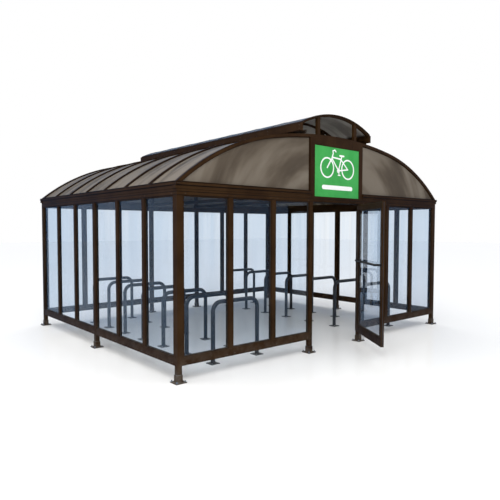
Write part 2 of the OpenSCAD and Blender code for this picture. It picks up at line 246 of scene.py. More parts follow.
    def screw(self, at: Point, axis: Point, size: float = 0.006) -> None:
        """Adds a domed screw head on a washer.

        Args:
            at: point on the surface.
            axis: direction out of the surface.
            size: radius of the washer.
        """
        w, h = size, size * 0.22
        washer = [(0, -0.0004), (w, -0.0004), (w, h * 0.7), (w * 0.93, h), (w * 0.66, h)]
        head = [(w * 0.62, h * 2.2), (w * 0.45, h * 3.0), (w * 0.2, h * 3.3), (w * 0.16, h * 2.6),
                (0, h * 2.6)]
        self.turned(washer + head, at, axis, 12)

    def done(self, name: str, finish: "Finish", body: Body = Body.SHELTER, slot: Slot = Slot.FRAME) -> None:
        """Closes the mesh and puts it on its body as a piece.

        Args:
            name: the piece's name.
            finish: what it is made of.
            body: the body it rides on.
            slot: not used.
        """
        bmesh.ops.recalc_face_normals(self.bm, faces=self.bm.faces)
        mesh = bpy.data.meshes.new(name)
        self.bm.to_mesh(mesh)
        self.bm.free()
        mesh.materials.append(finish.material())
        piece = bpy.data.objects.new(name, mesh)
        bpy.context.scene.collection.objects.link(piece)
        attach(piece, body.value)
        LOG.info("%s: %d faces on %s", name, len(mesh.polygons), body.value)


# ---------------------------------------------------------------- shader groups


class Nodes:
    """A node tree with short calls for adding and joining nodes."""

    def __init__(self, tree: bpy.types.NodeTree) -> None:
        """Wraps a tree."""
        self.tree = tree

    def add(self, kind: str, **values: object) -> bpy.types.Node:
        """Adds a node and sets its own properties.

        Args:
            kind: the node's type name without ShaderNode.
            values: properties of the node.

        Returns:
            The node.
        """
        node = self.tree.nodes.new("ShaderNode" + kind)
        for key, value in values.items():
            setattr(node, key, value)
        return node

    def put(self, value: object, socket: bpy.types.NodeSocket) -> None:
        """Links an output to a socket, or sets the socket's own value.

        Args:
            value: an output socket or a plain value.
            socket: the input socket.
        """
        if isinstance(value, bpy.types.NodeSocket):
            self.tree.links.new(value, socket)
        else:
            socket.default_value = value

    def maths(self, what: str, a: object, b: object = 0.0) -> bpy.types.NodeSocket:
        """Adds a Math node.

        Args:
            what: the operation.
            a: first value or socket.
            b: second value or socket.

        Returns:
            Its result.
        """
        node = self.add("Math", operation=what)
        self.put(a, node.inputs[0])
        self.put(b, node.inputs[1])
        return node.outputs[0]

    def spread(self, value: object, lo: object, hi: object, to_lo: object = 0.0, to_hi: object = 1.0,
               smooth: bool = True) -> bpy.types.NodeSocket:
        """Maps a range to another range.

        Args:
            value: what is mapped.
            lo: start of the first range.
            hi: end of the first range.
            to_lo: start of the second range.
            to_hi: end of the second range.
            smooth: eases both ends.

        Returns:
            The mapped value.
        """
        node = self.add("MapRange", interpolation_type="SMOOTHSTEP" if smooth else "LINEAR")
        for k, v in enumerate((value, lo, hi, to_lo, to_hi)):
            self.put(v, node.inputs[k])
        return node.outputs[0]

    def noise(self, at: object, scale: object, detail: float = 3.0,
              roughness: float = 0.55) -> bpy.types.NodeSocket:
        """Adds a Noise texture.

        Args:
            at: its coordinates.
            scale: its scale.
            detail: its detail.
            roughness: its roughness.

        Returns:
            Its value, about 0.5 on average.
        """
        node = self.add("TexNoise")
        self.put(at, node.inputs["Vector"])
        for key, v in (("Scale", scale), ("Detail", detail), ("Roughness", roughness)):
            self.put(v, node.inputs[key])
        return node.outputs["Fac"]

    def stretch(self, at: object, by: object) -> bpy.types.NodeSocket:
        """Scales coordinates along each axis.

        Args:
            at: the coordinates.
            by: a vector or socket.

        Returns:
            The scaled coordinates.
        """
        node = self.add("VectorMath", operation="MULTIPLY")
        self.put(at, node.inputs[0])
        self.put(by, node.inputs[1])
        return node.outputs[0]

    def blend(self, mask: object, a: object, b: object) -> bpy.types.NodeSocket:
        """Mixes two colours.

        Args:
            mask: share of the second colour.
            a: first colour or socket.
            b: second colour or socket.

        Returns:
            The mixed colour.
        """
        node = self.add("Mix", data_type="RGBA")
        self.put(mask, node.inputs["Factor"])
        for v, socket in ((a, node.inputs[6]), (b, node.inputs[7])):
            self.put((*v, 1.0) if isinstance(v, tuple) and len(v) == 3 else v, socket)
        return node.outputs[2]

    def bump(self, height: object, distance: float, strength: float,
             normal: bpy.types.NodeSocket | None = None) -> bpy.types.NodeSocket:
        """Adds a Bump node.

        Args:
            height: what raises the surface.
            distance: height of a value of one, in metres.
            strength: share of it.
            normal: the normal it starts from.

        Returns:
            The bumped normal.
        """
        node = self.add("Bump")
        node.inputs["Distance"].default_value = distance
        node.inputs["Strength"].default_value = strength
        self.put(height, node.inputs["Height"])
        if normal is not None:
            self.put(normal, node.inputs["Normal"])
        return node.outputs[0]

    def use(self, group: "Effect", **values: object) -> dict[str, bpy.types.NodeSocket]:
        """Places a shared effect.

        Args:
            group: the effect.
            values: its inputs by name, with _ for a space.

        Returns:
            Its outputs by name.
        """
        node = self.add("Group", node_tree=group.tree())
        for key, v in values.items():
            self.put(v, node.inputs[key.replace("_", " ")])
        return {o.name: o for o in node.outputs}


class Effect:
    """A shader node group with named inputs and outputs, built once."""

    name = "effect"
    inputs: dict[str, tuple[str, object]] = {}
    outputs: dict[str, str] = {}

    def tree(self) -> bpy.types.NodeTree:
        """The group, made on first use.

        Returns:
            The node group.
        """
        found = bpy.data.node_groups.get(self.name)
        if found:
            return found
        tree = bpy.data.node_groups.new(self.name, "ShaderNodeTree")
        for key, (kind, value) in self.inputs.items():
            socket = tree.interface.new_socket(key, in_out="INPUT", socket_type="NodeSocket" + kind)
            socket.default_value = value
        for key, kind in self.outputs.items():
            tree.interface.new_socket(key, in_out="OUTPUT", socket_type="NodeSocket" + kind)
        start, end = tree.nodes.new("NodeGroupInput"), tree.nodes.new("NodeGroupOutput")
        self.fill(Nodes(tree), start.outputs, end.inputs)
        return tree

    def fill(self, n: Nodes, given: object, out: object) -> None:
        """Makes the group's nodes.

        Args:
            n: the group's tree.
            given: its input sockets by name.
            out: its output sockets by name.
        """
        raise NotImplementedError


class Dust(Effect):
    """Pale dust that gathers near the ground and on what faces up."""

    name = "dust"
    inputs = {"Height": ("Float", 0.6), "Low": ("Float", 0.5), "Flat": ("Float", 0.4)}
    outputs = {"Mask": "Float"}

    def fill(self, n: Nodes, given: object, out: object) -> None:
        """Makes the group's nodes.

        Args:
            n: the group's tree.
            given: its input sockets by name.
            out: its output sockets by name.
        """
        geo = n.add("NewGeometry")
        at = n.add("SeparateXYZ")
        up = n.add("SeparateXYZ")
        n.put(geo.outputs["Position"], at.inputs[0])
        n.put(geo.outputs["Normal"], up.inputs[0])
        low = n.maths("MULTIPLY", n.spread(at.outputs[2], 0.0, given["Height"], 1.0, 0.0), given["Low"])
        flat = n.maths("MULTIPLY", n.spread(up.outputs[2], 0.35, 0.95), given["Flat"])
        cloud = n.noise(geo.outputs["Position"], 9.0, 6.0, 0.65)
        fine = n.noise(geo.outputs["Position"], 70.0, 3.0)
        mix = n.maths("MULTIPLY", n.maths("ADD", low, flat), n.spread(cloud, 0.32, 0.7))
        n.put(n.maths("MULTIPLY", mix, n.spread(fine, 0.25, 0.6, 0.55, 1.0)), out["Mask"])


class WornAndHighlitEdge(Effect):
    """Finds and rounds sharp edges; its mask marks them for wear and for a painted edge highlight."""

    name = "worn_and_highlit_edge"
    inputs = {"Radius": ("Float", 0.003), "Breakup": ("Float", 24.0)}
    outputs = {"Mask": "Float", "Normal": "Vector"}

    def fill(self, n: Nodes, given: object, out: object) -> None:
        """Makes the group's nodes.

        Args:
            n: the group's tree.
            given: its input sockets by name.
            out: its output sockets by name.
        """
        bevel = n.add("Bevel", samples=4)
        n.put(given["Radius"], bevel.inputs["Radius"])
        geo = n.add("NewGeometry")
        dot = n.add("VectorMath", operation="DOT_PRODUCT")
        n.put(bevel.outputs[0], dot.inputs[0])
        n.put(geo.outputs["Normal"], dot.inputs[1])
        edge = n.spread(dot.outputs["Value"], 0.985, 0.80)
        cloud = n.noise(geo.outputs["Position"], given["Breakup"], 5.0, 0.7)
        n.put(n.maths("MULTIPLY", edge, n.spread(cloud, 0.42, 0.66)), out["Mask"])
        n.put(bevel.outputs[0], out["Normal"])


class Runs(Effect):
    """Marks that rain leaves as it runs down, stretched along a direction."""

    name = "runs"
    inputs = {"Stretch": ("Vector", (16.0, 16.0, 0.7)), "Low": ("Float", 0.5), "High": ("Float", 0.75)}
    outputs = {"Mask": "Float"}

    def fill(self, n: Nodes, given: object, out: object) -> None:
        """Makes the group's nodes.

        Args:
            n: the group's tree.
            given: its input sockets by name.
            out: its output sockets by name.
        """
        at = n.add("TexCoord").outputs["Object"]
        wide = n.noise(n.stretch(at, given["Stretch"]), 1.0, 4.0, 0.6)
        n.put(n.spread(wide, given["Low"], given["High"]), out["Mask"])


class Mottle(Effect):
    """Slow change of tone over a surface, with a fine grain on top."""

    name = "mottle"
    inputs = {"Size": ("Float", 2.0), "Grain": ("Float", 220.0)}
    outputs = {"Tone": "Float", "Fine": "Float"}

    def fill(self, n: Nodes, given: object, out: object) -> None:
        """Makes the group's nodes.

        Args:
            n: the group's tree.
            given: its input sockets by name.
            out: its output sockets by name.
        """
        at = n.add("TexCoord").outputs["Object"]
        n.put(n.spread(n.noise(at, given["Size"], 5.0, 0.6), 0.3, 0.7), out["Tone"])
        n.put(n.noise(at, given["Grain"], 2.0), out["Fine"])


DUST, EDGE_WEAR_AND_HIGHLIGHT, RUNS, MOTTLE = Dust(), WornAndHighlitEdge(), Runs(), Mottle()


# ---------------------------------------------------------------- finishes


@dataclass(frozen=True)
class Finish:
    """What a piece is made of and coated with."""

    name: str

    def material(self) -> bpy.types.Material:
        """The material, made on first use.

        Returns:
            The material.
        """
        found = bpy.data.materials.get(self.name)
        if found:
            return found
        made = bpy.data.materials.new(self.name)
        made.use_nodes = True
        made.node_tree.nodes.clear()
        n = Nodes(made.node_tree)
        surface = self.surface(n, n.add("BsdfPrincipled"))
        n.put(surface, n.add("OutputMaterial").inputs["Surface"])
        return made

    def surface(self, n: Nodes, shader: bpy.types.Node) -> bpy.types.NodeSocket:
        """Sets up the shader.

        Args:
            n: the material's tree.
            shader: its Principled shader.

        Returns:
            The surface's output.
        """
        raise NotImplementedError


@dataclass(frozen=True)
class CoatedMetal(Finish):
    """Metal under a satin coat: grain, worn edges that also carry a painted edge highlight, rain marks and
    dust.
    """

    base: Colour = (0.025, 0.0108, 0.0032)
    light: Colour = (0.038, 0.0178, 0.0058)
    # Colour at the edges: bare metal where worn, and also a painted highlight along the edges.
    bare_and_highlight: Colour = (0.085, 0.052, 0.028)
    dust: Colour = (0.34, 0.31, 0.27)
    rough: float = 0.46
    shine: float = 0.05
    wear_and_highlight: float = 0.5
    low_dust: float = 0.12
    flat_dust: float = 0.12
    radius: float = 0.0025
    metal: float = 0.0
    peel: float = 0.00006

    def surface(self, n: Nodes, shader: bpy.types.Node) -> bpy.types.NodeSocket:
        """Sets up the shader.

        Args:
            n: the material's tree.
            shader: its Principled shader.

        Returns:
            The surface's output.
        """
        tone = n.use(MOTTLE, Size=2.4, Grain=260.0)
        runs = n.use(RUNS, Stretch=(22.0, 22.0, 1.1), Low=0.48, High=0.78)
        edge = n.use(EDGE_WEAR_AND_HIGHLIGHT, Radius=self.radius)
        dust = n.use(DUST, Height=0.55, Low=self.low_dust, Flat=self.flat_dust)
        colour = n.blend(tone["Tone"], self.base, self.light)
        colour = n.blend(n.maths("MULTIPLY", runs["Mask"], 0.35), colour, tuple(c * 0.62 for c in self.base))
        # Edges lightened towards the bare colour: partly real wear, partly a painted highlight along the
        # edges.
        colour = n.blend(n.maths("MULTIPLY", edge["Mask"], self.wear_and_highlight), colour, self.bare_and_highlight)
        colour = n.blend(dust["Mask"], colour, self.dust)
        n.put(colour, shader.inputs["Base Color"])
        rough = n.spread(tone["Fine"], 0.3, 0.7, self.rough - 0.05, self.rough + 0.07)
        n.put(n.maths("ADD", rough, n.maths("MULTIPLY", dust["Mask"], 0.3)), shader.inputs["Roughness"])
        n.put(n.bump(tone["Fine"], self.peel, 0.5, edge["Normal"]), shader.inputs["Normal"])
        shader.inputs["Specular IOR Level"].default_value = self.shine
        shader.inputs["Metallic"].default_value = self.metal
        return shader.outputs[0]


@dataclass(frozen=True)
class ClearGlass(Finish):
    """Toughened glass with a faint blue cast, rain marks and a thin film that is paler near its foot."""

    tint: Colour = (0.755, 0.818, 0.885)
    marks: Colour = (0.835, 0.875, 0.915)
    film: Colour = (0.78, 0.80, 0.835)
    glint: Colour = (0.7, 0.85, 1.0)
    dust: Colour = (0.70, 0.71, 0.70)
    ior: float = 1.30
    lamps: Colour = (0.86, 0.89, 0.93)

    def surface(self, n: Nodes, shader: bpy.types.Node) -> bpy.types.NodeSocket:
        """Sets up the shader.

        Args:
            n: the material's tree.
            shader: its Principled shader.

        Returns:
            The surface's output.
        """
        runs = n.use(RUNS, Stretch=(4.5, 4.5, 0.22), Low=0.42, High=0.68)
        cloud = n.use(RUNS, Stretch=(1.0, 1.0, 0.8), Low=0.35, High=0.65)
        dust = n.use(DUST, Height=0.8, Low=0.35, Flat=0.0)
        height = n.add("SeparateXYZ")
        n.put(n.add("NewGeometry").outputs["Position"], height.inputs[0])
        foot = n.maths("MULTIPLY", n.spread(height.outputs[2], 0.3, 2.0, 1.0, 0.0), cloud["Mask"])
        colour = n.blend(n.maths("MULTIPLY", runs["Mask"], 0.75), self.tint, self.marks)
        colour = n.blend(n.maths("MULTIPLY", foot, 0.6), colour, self.film)
        colour = n.blend(n.maths("MULTIPLY", dust["Mask"], 0.3), colour, self.dust)
        n.put(colour, shader.inputs["Base Color"])
        n.put(n.spread(dust["Mask"], 0.2, 1.0, 0.0, 0.03, smooth=False), shader.inputs["Roughness"])
        shader.inputs["Transmission Weight"].default_value = 1.0
        shader.inputs["Metallic"].default_value = 0.0
        shader.inputs["IOR"].default_value = self.ior
        shader.inputs["Specular Tint"].default_value = (*self.glint, 1.0)
        clear = n.add("BsdfTransparent")
        clear.inputs["Color"].default_value = (*self.lamps, 1.0)
        mix = n.add("MixShader")
        n.put(n.add("LightPath").outputs["Is Shadow Ray"], mix.inputs[0])
        n.put(shader.outputs[0], mix.inputs[1])
        n.put(clear.outputs[0], mix.inputs[2])
        return mix.outputs[0]


@dataclass(frozen=True)
class TintedSheet(Finish):
    """Bronze tinted twin wall sheet: flutes, soft streaks (on the gables painted reflections and shadows of
    the roof ribs), clouding and dirt on what faces up.
    """

    base: Colour = (0.112, 0.089, 0.066)
    dark: Colour = (0.052, 0.040, 0.030)
    pale: Colour = (0.192, 0.164, 0.131)
    flow: Point = (0.9, 7.0, 0.9)
    flutes: Axis = Axis.Y
    pitch: float = 0.016
    glow: float = 0.12
    shine: float = 0.05
    ior: float = 1.25
    dust: Colour = (0.30, 0.28, 0.25)
    # Centre on each side for the gables' painted reflections and shadows of the roof ribs; (0, 0) keeps the
    # streaks straight.
    painted_rib_shade_centre: tuple[float, float] = (0.0, 0.0)

    def path(self, n: Nodes, at: bpy.types.NodeSocket) -> bpy.types.NodeSocket:
        """Coordinates that its streaks follow: straight on the roof and vent, round a centre on each side on
        the gables, where the streaks are painted reflections and shadows of the roof ribs.

        Args:
            n: the material's tree.
            at: object coordinates.

        Returns:
            The coordinates.
        """
        if self.painted_rib_shade_centre == (0.0, 0.0):
            return n.stretch(at, self.flow)
        part = n.add("SeparateXYZ")
        n.put(at, part.inputs[0])
        dx = n.maths("SUBTRACT", n.maths("ABSOLUTE", part.outputs[0]), self.painted_rib_shade_centre[0])
        dz = n.maths("SUBTRACT", part.outputs[2], self.painted_rib_shade_centre[1])
        out = n.add("CombineXYZ")
        far = n.maths("SQRT", n.maths("ADD", n.maths("MULTIPLY", dx, dx), n.maths("MULTIPLY", dz, dz)))
        n.put(n.maths("MULTIPLY", far, self.flow[0]), out.inputs[0])
        n.put(n.maths("MULTIPLY", part.outputs[0], self.flow[1]), out.inputs[1])
        n.put(n.maths("MULTIPLY", n.maths("ARCTAN2", dz, dx), self.flow[2]), out.inputs[2])
        return out.outputs[0]

    def surface(self, n: Nodes, shader: bpy.types.Node) -> bpy.types.NodeSocket:
        """Sets up the shader.

        Args:
            n: the material's tree.
            shader: its Principled shader.

        Returns:
            The surface's output.
        """
        at = n.add("TexCoord").outputs["Object"]
        way = self.path(n, at)
        streak_and_rib_shade = n.noise(way, 1.0, 3.0, 0.5)
        fine = n.noise(way, 3.7, 3.0, 0.55)
        tone = n.use(MOTTLE, Size=0.9, Grain=180.0)
        dust = n.use(DUST, Height=0.1, Low=0.0, Flat=0.3)
        # Pale and dark streaks: soft streaks on the roof and vent, painted reflections and shadows of the
        # roof ribs on the gables.
        colour = n.blend(n.spread(streak_and_rib_shade, 0.38, 0.60), self.base, self.pale)
        colour = n.blend(n.maths("MULTIPLY", n.spread(streak_and_rib_shade, 0.50, 0.30), 0.7), colour, self.dark)
        colour = n.blend(n.spread(fine, 0.52, 0.78, 0.0, 0.16), colour, tuple(c * 1.2 for c in self.pale))
        colour = n.blend(n.maths("MULTIPLY", tone["Tone"], 0.3), colour, self.base)
        split = n.add("SeparateXYZ")
        n.put(at, split.inputs[0])
        across = n.maths("MULTIPLY", split.outputs[self.flutes.value], 2 * math.pi / self.pitch)
        wave = n.maths("SINE", across)
        colour = n.blend(n.maths("MULTIPLY", n.spread(wave, 0.55, 0.98), 0.2), colour, self.dark)
        n.put(n.blend(dust["Mask"], colour, self.dust), shader.inputs["Base Color"])
        n.put(n.spread(tone["Fine"], 0.3, 0.7, 0.32, 0.46), shader.inputs["Roughness"])
        relief = n.maths("ADD", n.maths("MULTIPLY", wave, 0.5), n.maths("MULTIPLY", streak_and_rib_shade, 1.2))
        n.put(n.bump(relief, 0.0005, 0.5), shader.inputs["Normal"])
        shader.inputs["Transmission Weight"].default_value = self.glow
        shader.inputs["Specular IOR Level"].default_value = self.shine
        shader.inputs["IOR"].default_value = self.ior
        return shader.outputs[0]


@dataclass(frozen=True)
class Enamel(Finish):
    """Smooth enamel on a sign, slightly faded and dusty."""

    base: Colour = (0.035, 0.30, 0.048)
    faded: Colour = (0.055, 0.36, 0.07)
    rough: float = 0.34
    shine: float = 0.3

    def surface(self, n: Nodes, shader: bpy.types.Node) -> bpy.types.NodeSocket:
        """Sets up the shader.

        Args:
            n: the material's tree.
            shader: its Principled shader.

        Returns:
            The surface's output.
        """
        tone = n.use(MOTTLE, Size=3.5, Grain=300.0)
        runs = n.use(RUNS, Stretch=(18.0, 18.0, 0.8), Low=0.55, High=0.85)
        colour = n.blend(tone["Tone"], self.base, self.faded)
        colour = n.blend(n.maths("MULTIPLY", runs["Mask"], 0.18), colour, tuple(c * 0.7 for c in self.base))
        n.put(colour, shader.inputs["Base Color"])
        rough = n.spread(tone["Fine"], 0.3, 0.7, self.rough - 0.06, self.rough + 0.08)
        n.put(rough, shader.inputs["Roughness"])
        n.put(n.bump(tone["Fine"], 0.00004, 0.4), shader.inputs["Normal"])
        shader.inputs["Specular IOR Level"].default_value = self.shine
        return shader.outputs[0]


@dataclass(frozen=True)
class Rubber(Finish):
    """Black glazing rubber, greyed by dust."""

    base: Colour = (0.012, 0.012, 0.013)
    grey: Colour = (0.05, 0.05, 0.05)
    dust: Colour = (0.2, 0.19, 0.17)

    def surface(self, n: Nodes, shader: bpy.types.Node) -> bpy.types.NodeSocket:
        """Sets up the shader.

        Args:
            n: the material's tree.
            shader: its Principled shader.

        Returns:
            The surface's output.
        """
        tone = n.use(MOTTLE, Size=8.0, Grain=400.0)
        dust = n.use(DUST, Height=0.7, Low=0.5, Flat=0.5)
        colour = n.blend(n.maths("MULTIPLY", tone["Tone"], 0.4), self.base, self.grey)
        n.put(n.blend(dust["Mask"], colour, self.dust), shader.inputs["Base Color"])
        n.put(n.spread(tone["Fine"], 0.3, 0.7, 0.62, 0.8), shader.inputs["Roughness"])
        n.put(n.bump(tone["Fine"], 0.00008, 0.5), shader.inputs["Normal"])
        return shader.outputs[0]


BRONZE = CoatedMetal("bronze_anodised")
BRONZE_TRIM = CoatedMetal("bronze_trim", base=(0.020, 0.0088, 0.0028), light=(0.031, 0.0145, 0.005),
                          radius=0.0012)
# Near-black bronze for the header lines: painted shade for the shadow lines between the header boards.
GROOVE_SHADE = CoatedMetal("bronze_groove_shade", base=(0.006, 0.0028, 0.0012), light=(0.010, 0.0048, 0.002),
                   wear_and_highlight=0.2, radius=0.0008)
FOOT = CoatedMetal("bronze_foot", low_dust=0.22, flat_dust=0.35)
RACK = CoatedMetal("rack_powder", base=(0.016, 0.018, 0.022), light=(0.027, 0.030, 0.035),
                   bare_and_highlight=(0.12, 0.12, 0.12), rough=0.42, shine=0.3, wear_and_highlight=0.2, peel=0.00012)
BLACK = CoatedMetal("black_coat", base=(0.010, 0.010, 0.011), light=(0.018, 0.018, 0.019),
                    bare_and_highlight=(0.1, 0.1, 0.1), rough=0.36)
ZINC = CoatedMetal("zinc_bolts", base=(0.32, 0.32, 0.31), light=(0.45, 0.45, 0.44), bare_and_highlight=(0.55, 0.55, 0.54),
                   rough=0.38, metal=0.9, shine=0.5, low_dust=0.5, radius=0.0006)
SCREW = CoatedMetal("bronze_screws", base=(0.05, 0.032, 0.02), light=(0.08, 0.055, 0.035),
                    rough=0.34, shine=0.6, radius=0.0006)
GLASS = ClearGlass("clear_glazing")
ROOF = TintedSheet("bronze_roof_sheet", base=(0.145, 0.114, 0.078), dark=(0.066, 0.051, 0.035),
                   pale=(0.232, 0.193, 0.146))
# The gable's curved streaks are painted reflections and shadows of the roof ribs seen through the sheet.
GABLE = TintedSheet("bronze_gable_sheet", flow=(2.7, 0.55, 0.8), flutes=Axis.X, painted_rib_shade_centre=(0.3, 1.5), glow=0.1)
VENT = TintedSheet("bronze_vent_sheet", base=(0.20, 0.185, 0.168), dark=(0.09, 0.08, 0.07),
                   pale=(0.30, 0.285, 0.26), glow=0.6)
GREEN = Enamel("green_enamel")
WHITE = Enamel("white_enamel", base=(0.80, 0.81, 0.79), faded=(0.88, 0.88, 0.86))
RUBBER = Rubber("glazing_rubber")


# ---------------------------------------------------------------- sizes shared by sub-assemblies


@dataclass(frozen=True)
class Plan:
    """The shelter's main sizes, read from the frame, in metres."""

    half_w: float
    half_d: float
    header_z: float
    frieze_top: float
    eave_top: float
    frieze_out: float = 0.008
    eave_out: float = 0.020
    arch_inset: float = 0.0013
    post: float = 0.064
    bar_w: float = 0.064
    bar_d: float = 0.058
    glass_t: float = 0.010
    rail_top: float = 0.300
    rail_z: float = 0.200
    jamb: float = 0.026
    mid_jamb: float = 0.014
    door_half: float = 0.563
    sign_half: float = 0.530
    upright: float = 0.090

    @classmethod
    def read(cls) -> "Plan":
        """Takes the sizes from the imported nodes.

        Returns:
            The plan.
        """
        frieze_h = 0.041
        lo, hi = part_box("end_headers")
        return cls(hi.x, hi.y, lo.z, hi.z + frieze_h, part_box("end_eaves")[1].z)

    def bay(self, lo: float, hi: float) -> list[tuple[float, float]]:
        """Splits a bay into three panes with bars between.

        Args:
            lo: start of the bay.
            hi: end of the bay.

        Returns:
            Start and end of each pane.
        """
        pane = (hi - lo - 2 * self.bar_w) / 3
        starts = [lo] + [round(lo + i * (pane + self.bar_w), 3) for i in (1, 2)]
        return list(zip(starts, [starts[1] - self.bar_w, starts[2] - self.bar_w, hi]))

    @property
    def front_panes(self) -> list[tuple[float, float]]:
        """Panes of the front wall along X."""
        left = self.bay(-self.half_w + self.post + self.jamb, -self.door_half - self.post)
        return left + [(-b, -a) for a, b in reversed(left)]

    @property
    def back_panes(self) -> list[tuple[float, float]]:
        """Panes of the back wall along X."""
        return self.front_panes + [(-self.door_half, self.door_half)]

    @property
    def side_panes(self) -> list[tuple[float, float]]:
        """Panes of a side wall along Y."""
        near = self.bay(-self.half_d + self.post + self.jamb, -self.post / 2 - self.mid_jamb)
        return near + [(-b, -a) for a, b in reversed(near)]

    @property
    def posts(self) -> list[tuple[float, float]]:
        """Middles of the ten posts."""
        x, y, d = self.half_w - self.post / 2, self.half_d - self.post / 2, self.door_half + self.post / 2
        outer = [(sx * x, sy * y) for sx, sy in product((-1, 1), (-1, 0, 1))]
        return outer + [(sx * d, sy * y) for sx, sy in product((-1, 1), repeat=2)]


@dataclass(frozen=True)
class Arch:
    """The outer line of the roof: a flat crown between two tighter shoulders."""

    crown_z: float
    foot: tuple[float, float]
    crown_r: float = 7.764
    blend: float = math.radians(9.97)

    @property
    def shoulder_r(self) -> float:
        """Radius of the shoulders.

        Returns:
            The radius that brings the arch down to its foot.
        """
        x, z = self.foot[0], self.foot[1] - (self.crown_z - self.crown_r)
        reach = x * math.sin(self.blend) + z * math.cos(self.blend)
        return (2 * self.crown_r * reach - x * x - z * z - self.crown_r**2) / (2 * (reach - self.crown_r))

    def at(self, angle: float, drop: float = 0.0) -> tuple[float, float]:
        """A point of the arch.

        Args:
            angle: turn from upright, in radians, positive to the right.
            drop: distance inside the outer line.

        Returns:
            X and Z.
        """
        side = math.copysign(1.0, angle)
        r, x, z = self.crown_r, 0.0, self.crown_z - self.crown_r
        if abs(angle) > self.blend:
            d = self.crown_r - self.shoulder_r
            r, x, z = self.shoulder_r, side * d * math.sin(self.blend), z + d * math.cos(self.blend)
        return x + (r - drop) * math.sin(angle), z + (r - drop) * math.cos(angle)

    def angle_at_x(self, x: float, drop: float = 0.0) -> float:
        """Angle at which the arch, inside by drop, reaches x on the right."""
        return self._solve(lambda a: self.at(a, drop)[0] - x)

    def angle_at_z(self, z: float, drop: float = 0.0) -> float:
        """Angle at which the arch, inside by drop, comes down to z on the right."""
        return self._solve(lambda a: z - self.at(a, drop)[1])

    @staticmethod
    def _solve(f: Callable[[float], float]) -> float:
        """Finds where a rising function of the angle passes zero.

        Args:
            f: the function.

        Returns:
            The angle, in radians.
        """
        lo, hi = 0.0, 1.2
        for _ in range(50):
            mid = (lo + hi) / 2
            lo, hi = (mid, hi) if f(mid) < 0 else (lo, mid)
        return lo

    def strip(self, solid: Solid, a0: float, a1: float, y0: float, y1: float,
              low: float, high: float, steps: int = 24) -> None:
        """Adds a flat strip that follows the arch.

        Args:
            solid: the mesh it goes into.
            a0: first angle.
            a1: last angle.
            y0: near edge.
            y1: far edge.
            low: height of its underside over the outer line.
            high: height of its top over the outer line.
            steps: steps along it.
        """
        rows = []
        for k in range(steps + 1):
            a = a0 + (a1 - a0) * k / steps
            (xl, zl), (xh, zh) = self.at(a, -low), self.at(a, -high)
            rows.append([(xl, y0, zl), (xl, y1, zl), (xh, y1, zh), (xh, y0, zh)])
        solid.sweep(rows, smooth=False)


# ---------------------------------------------------------------- sub-assemblies


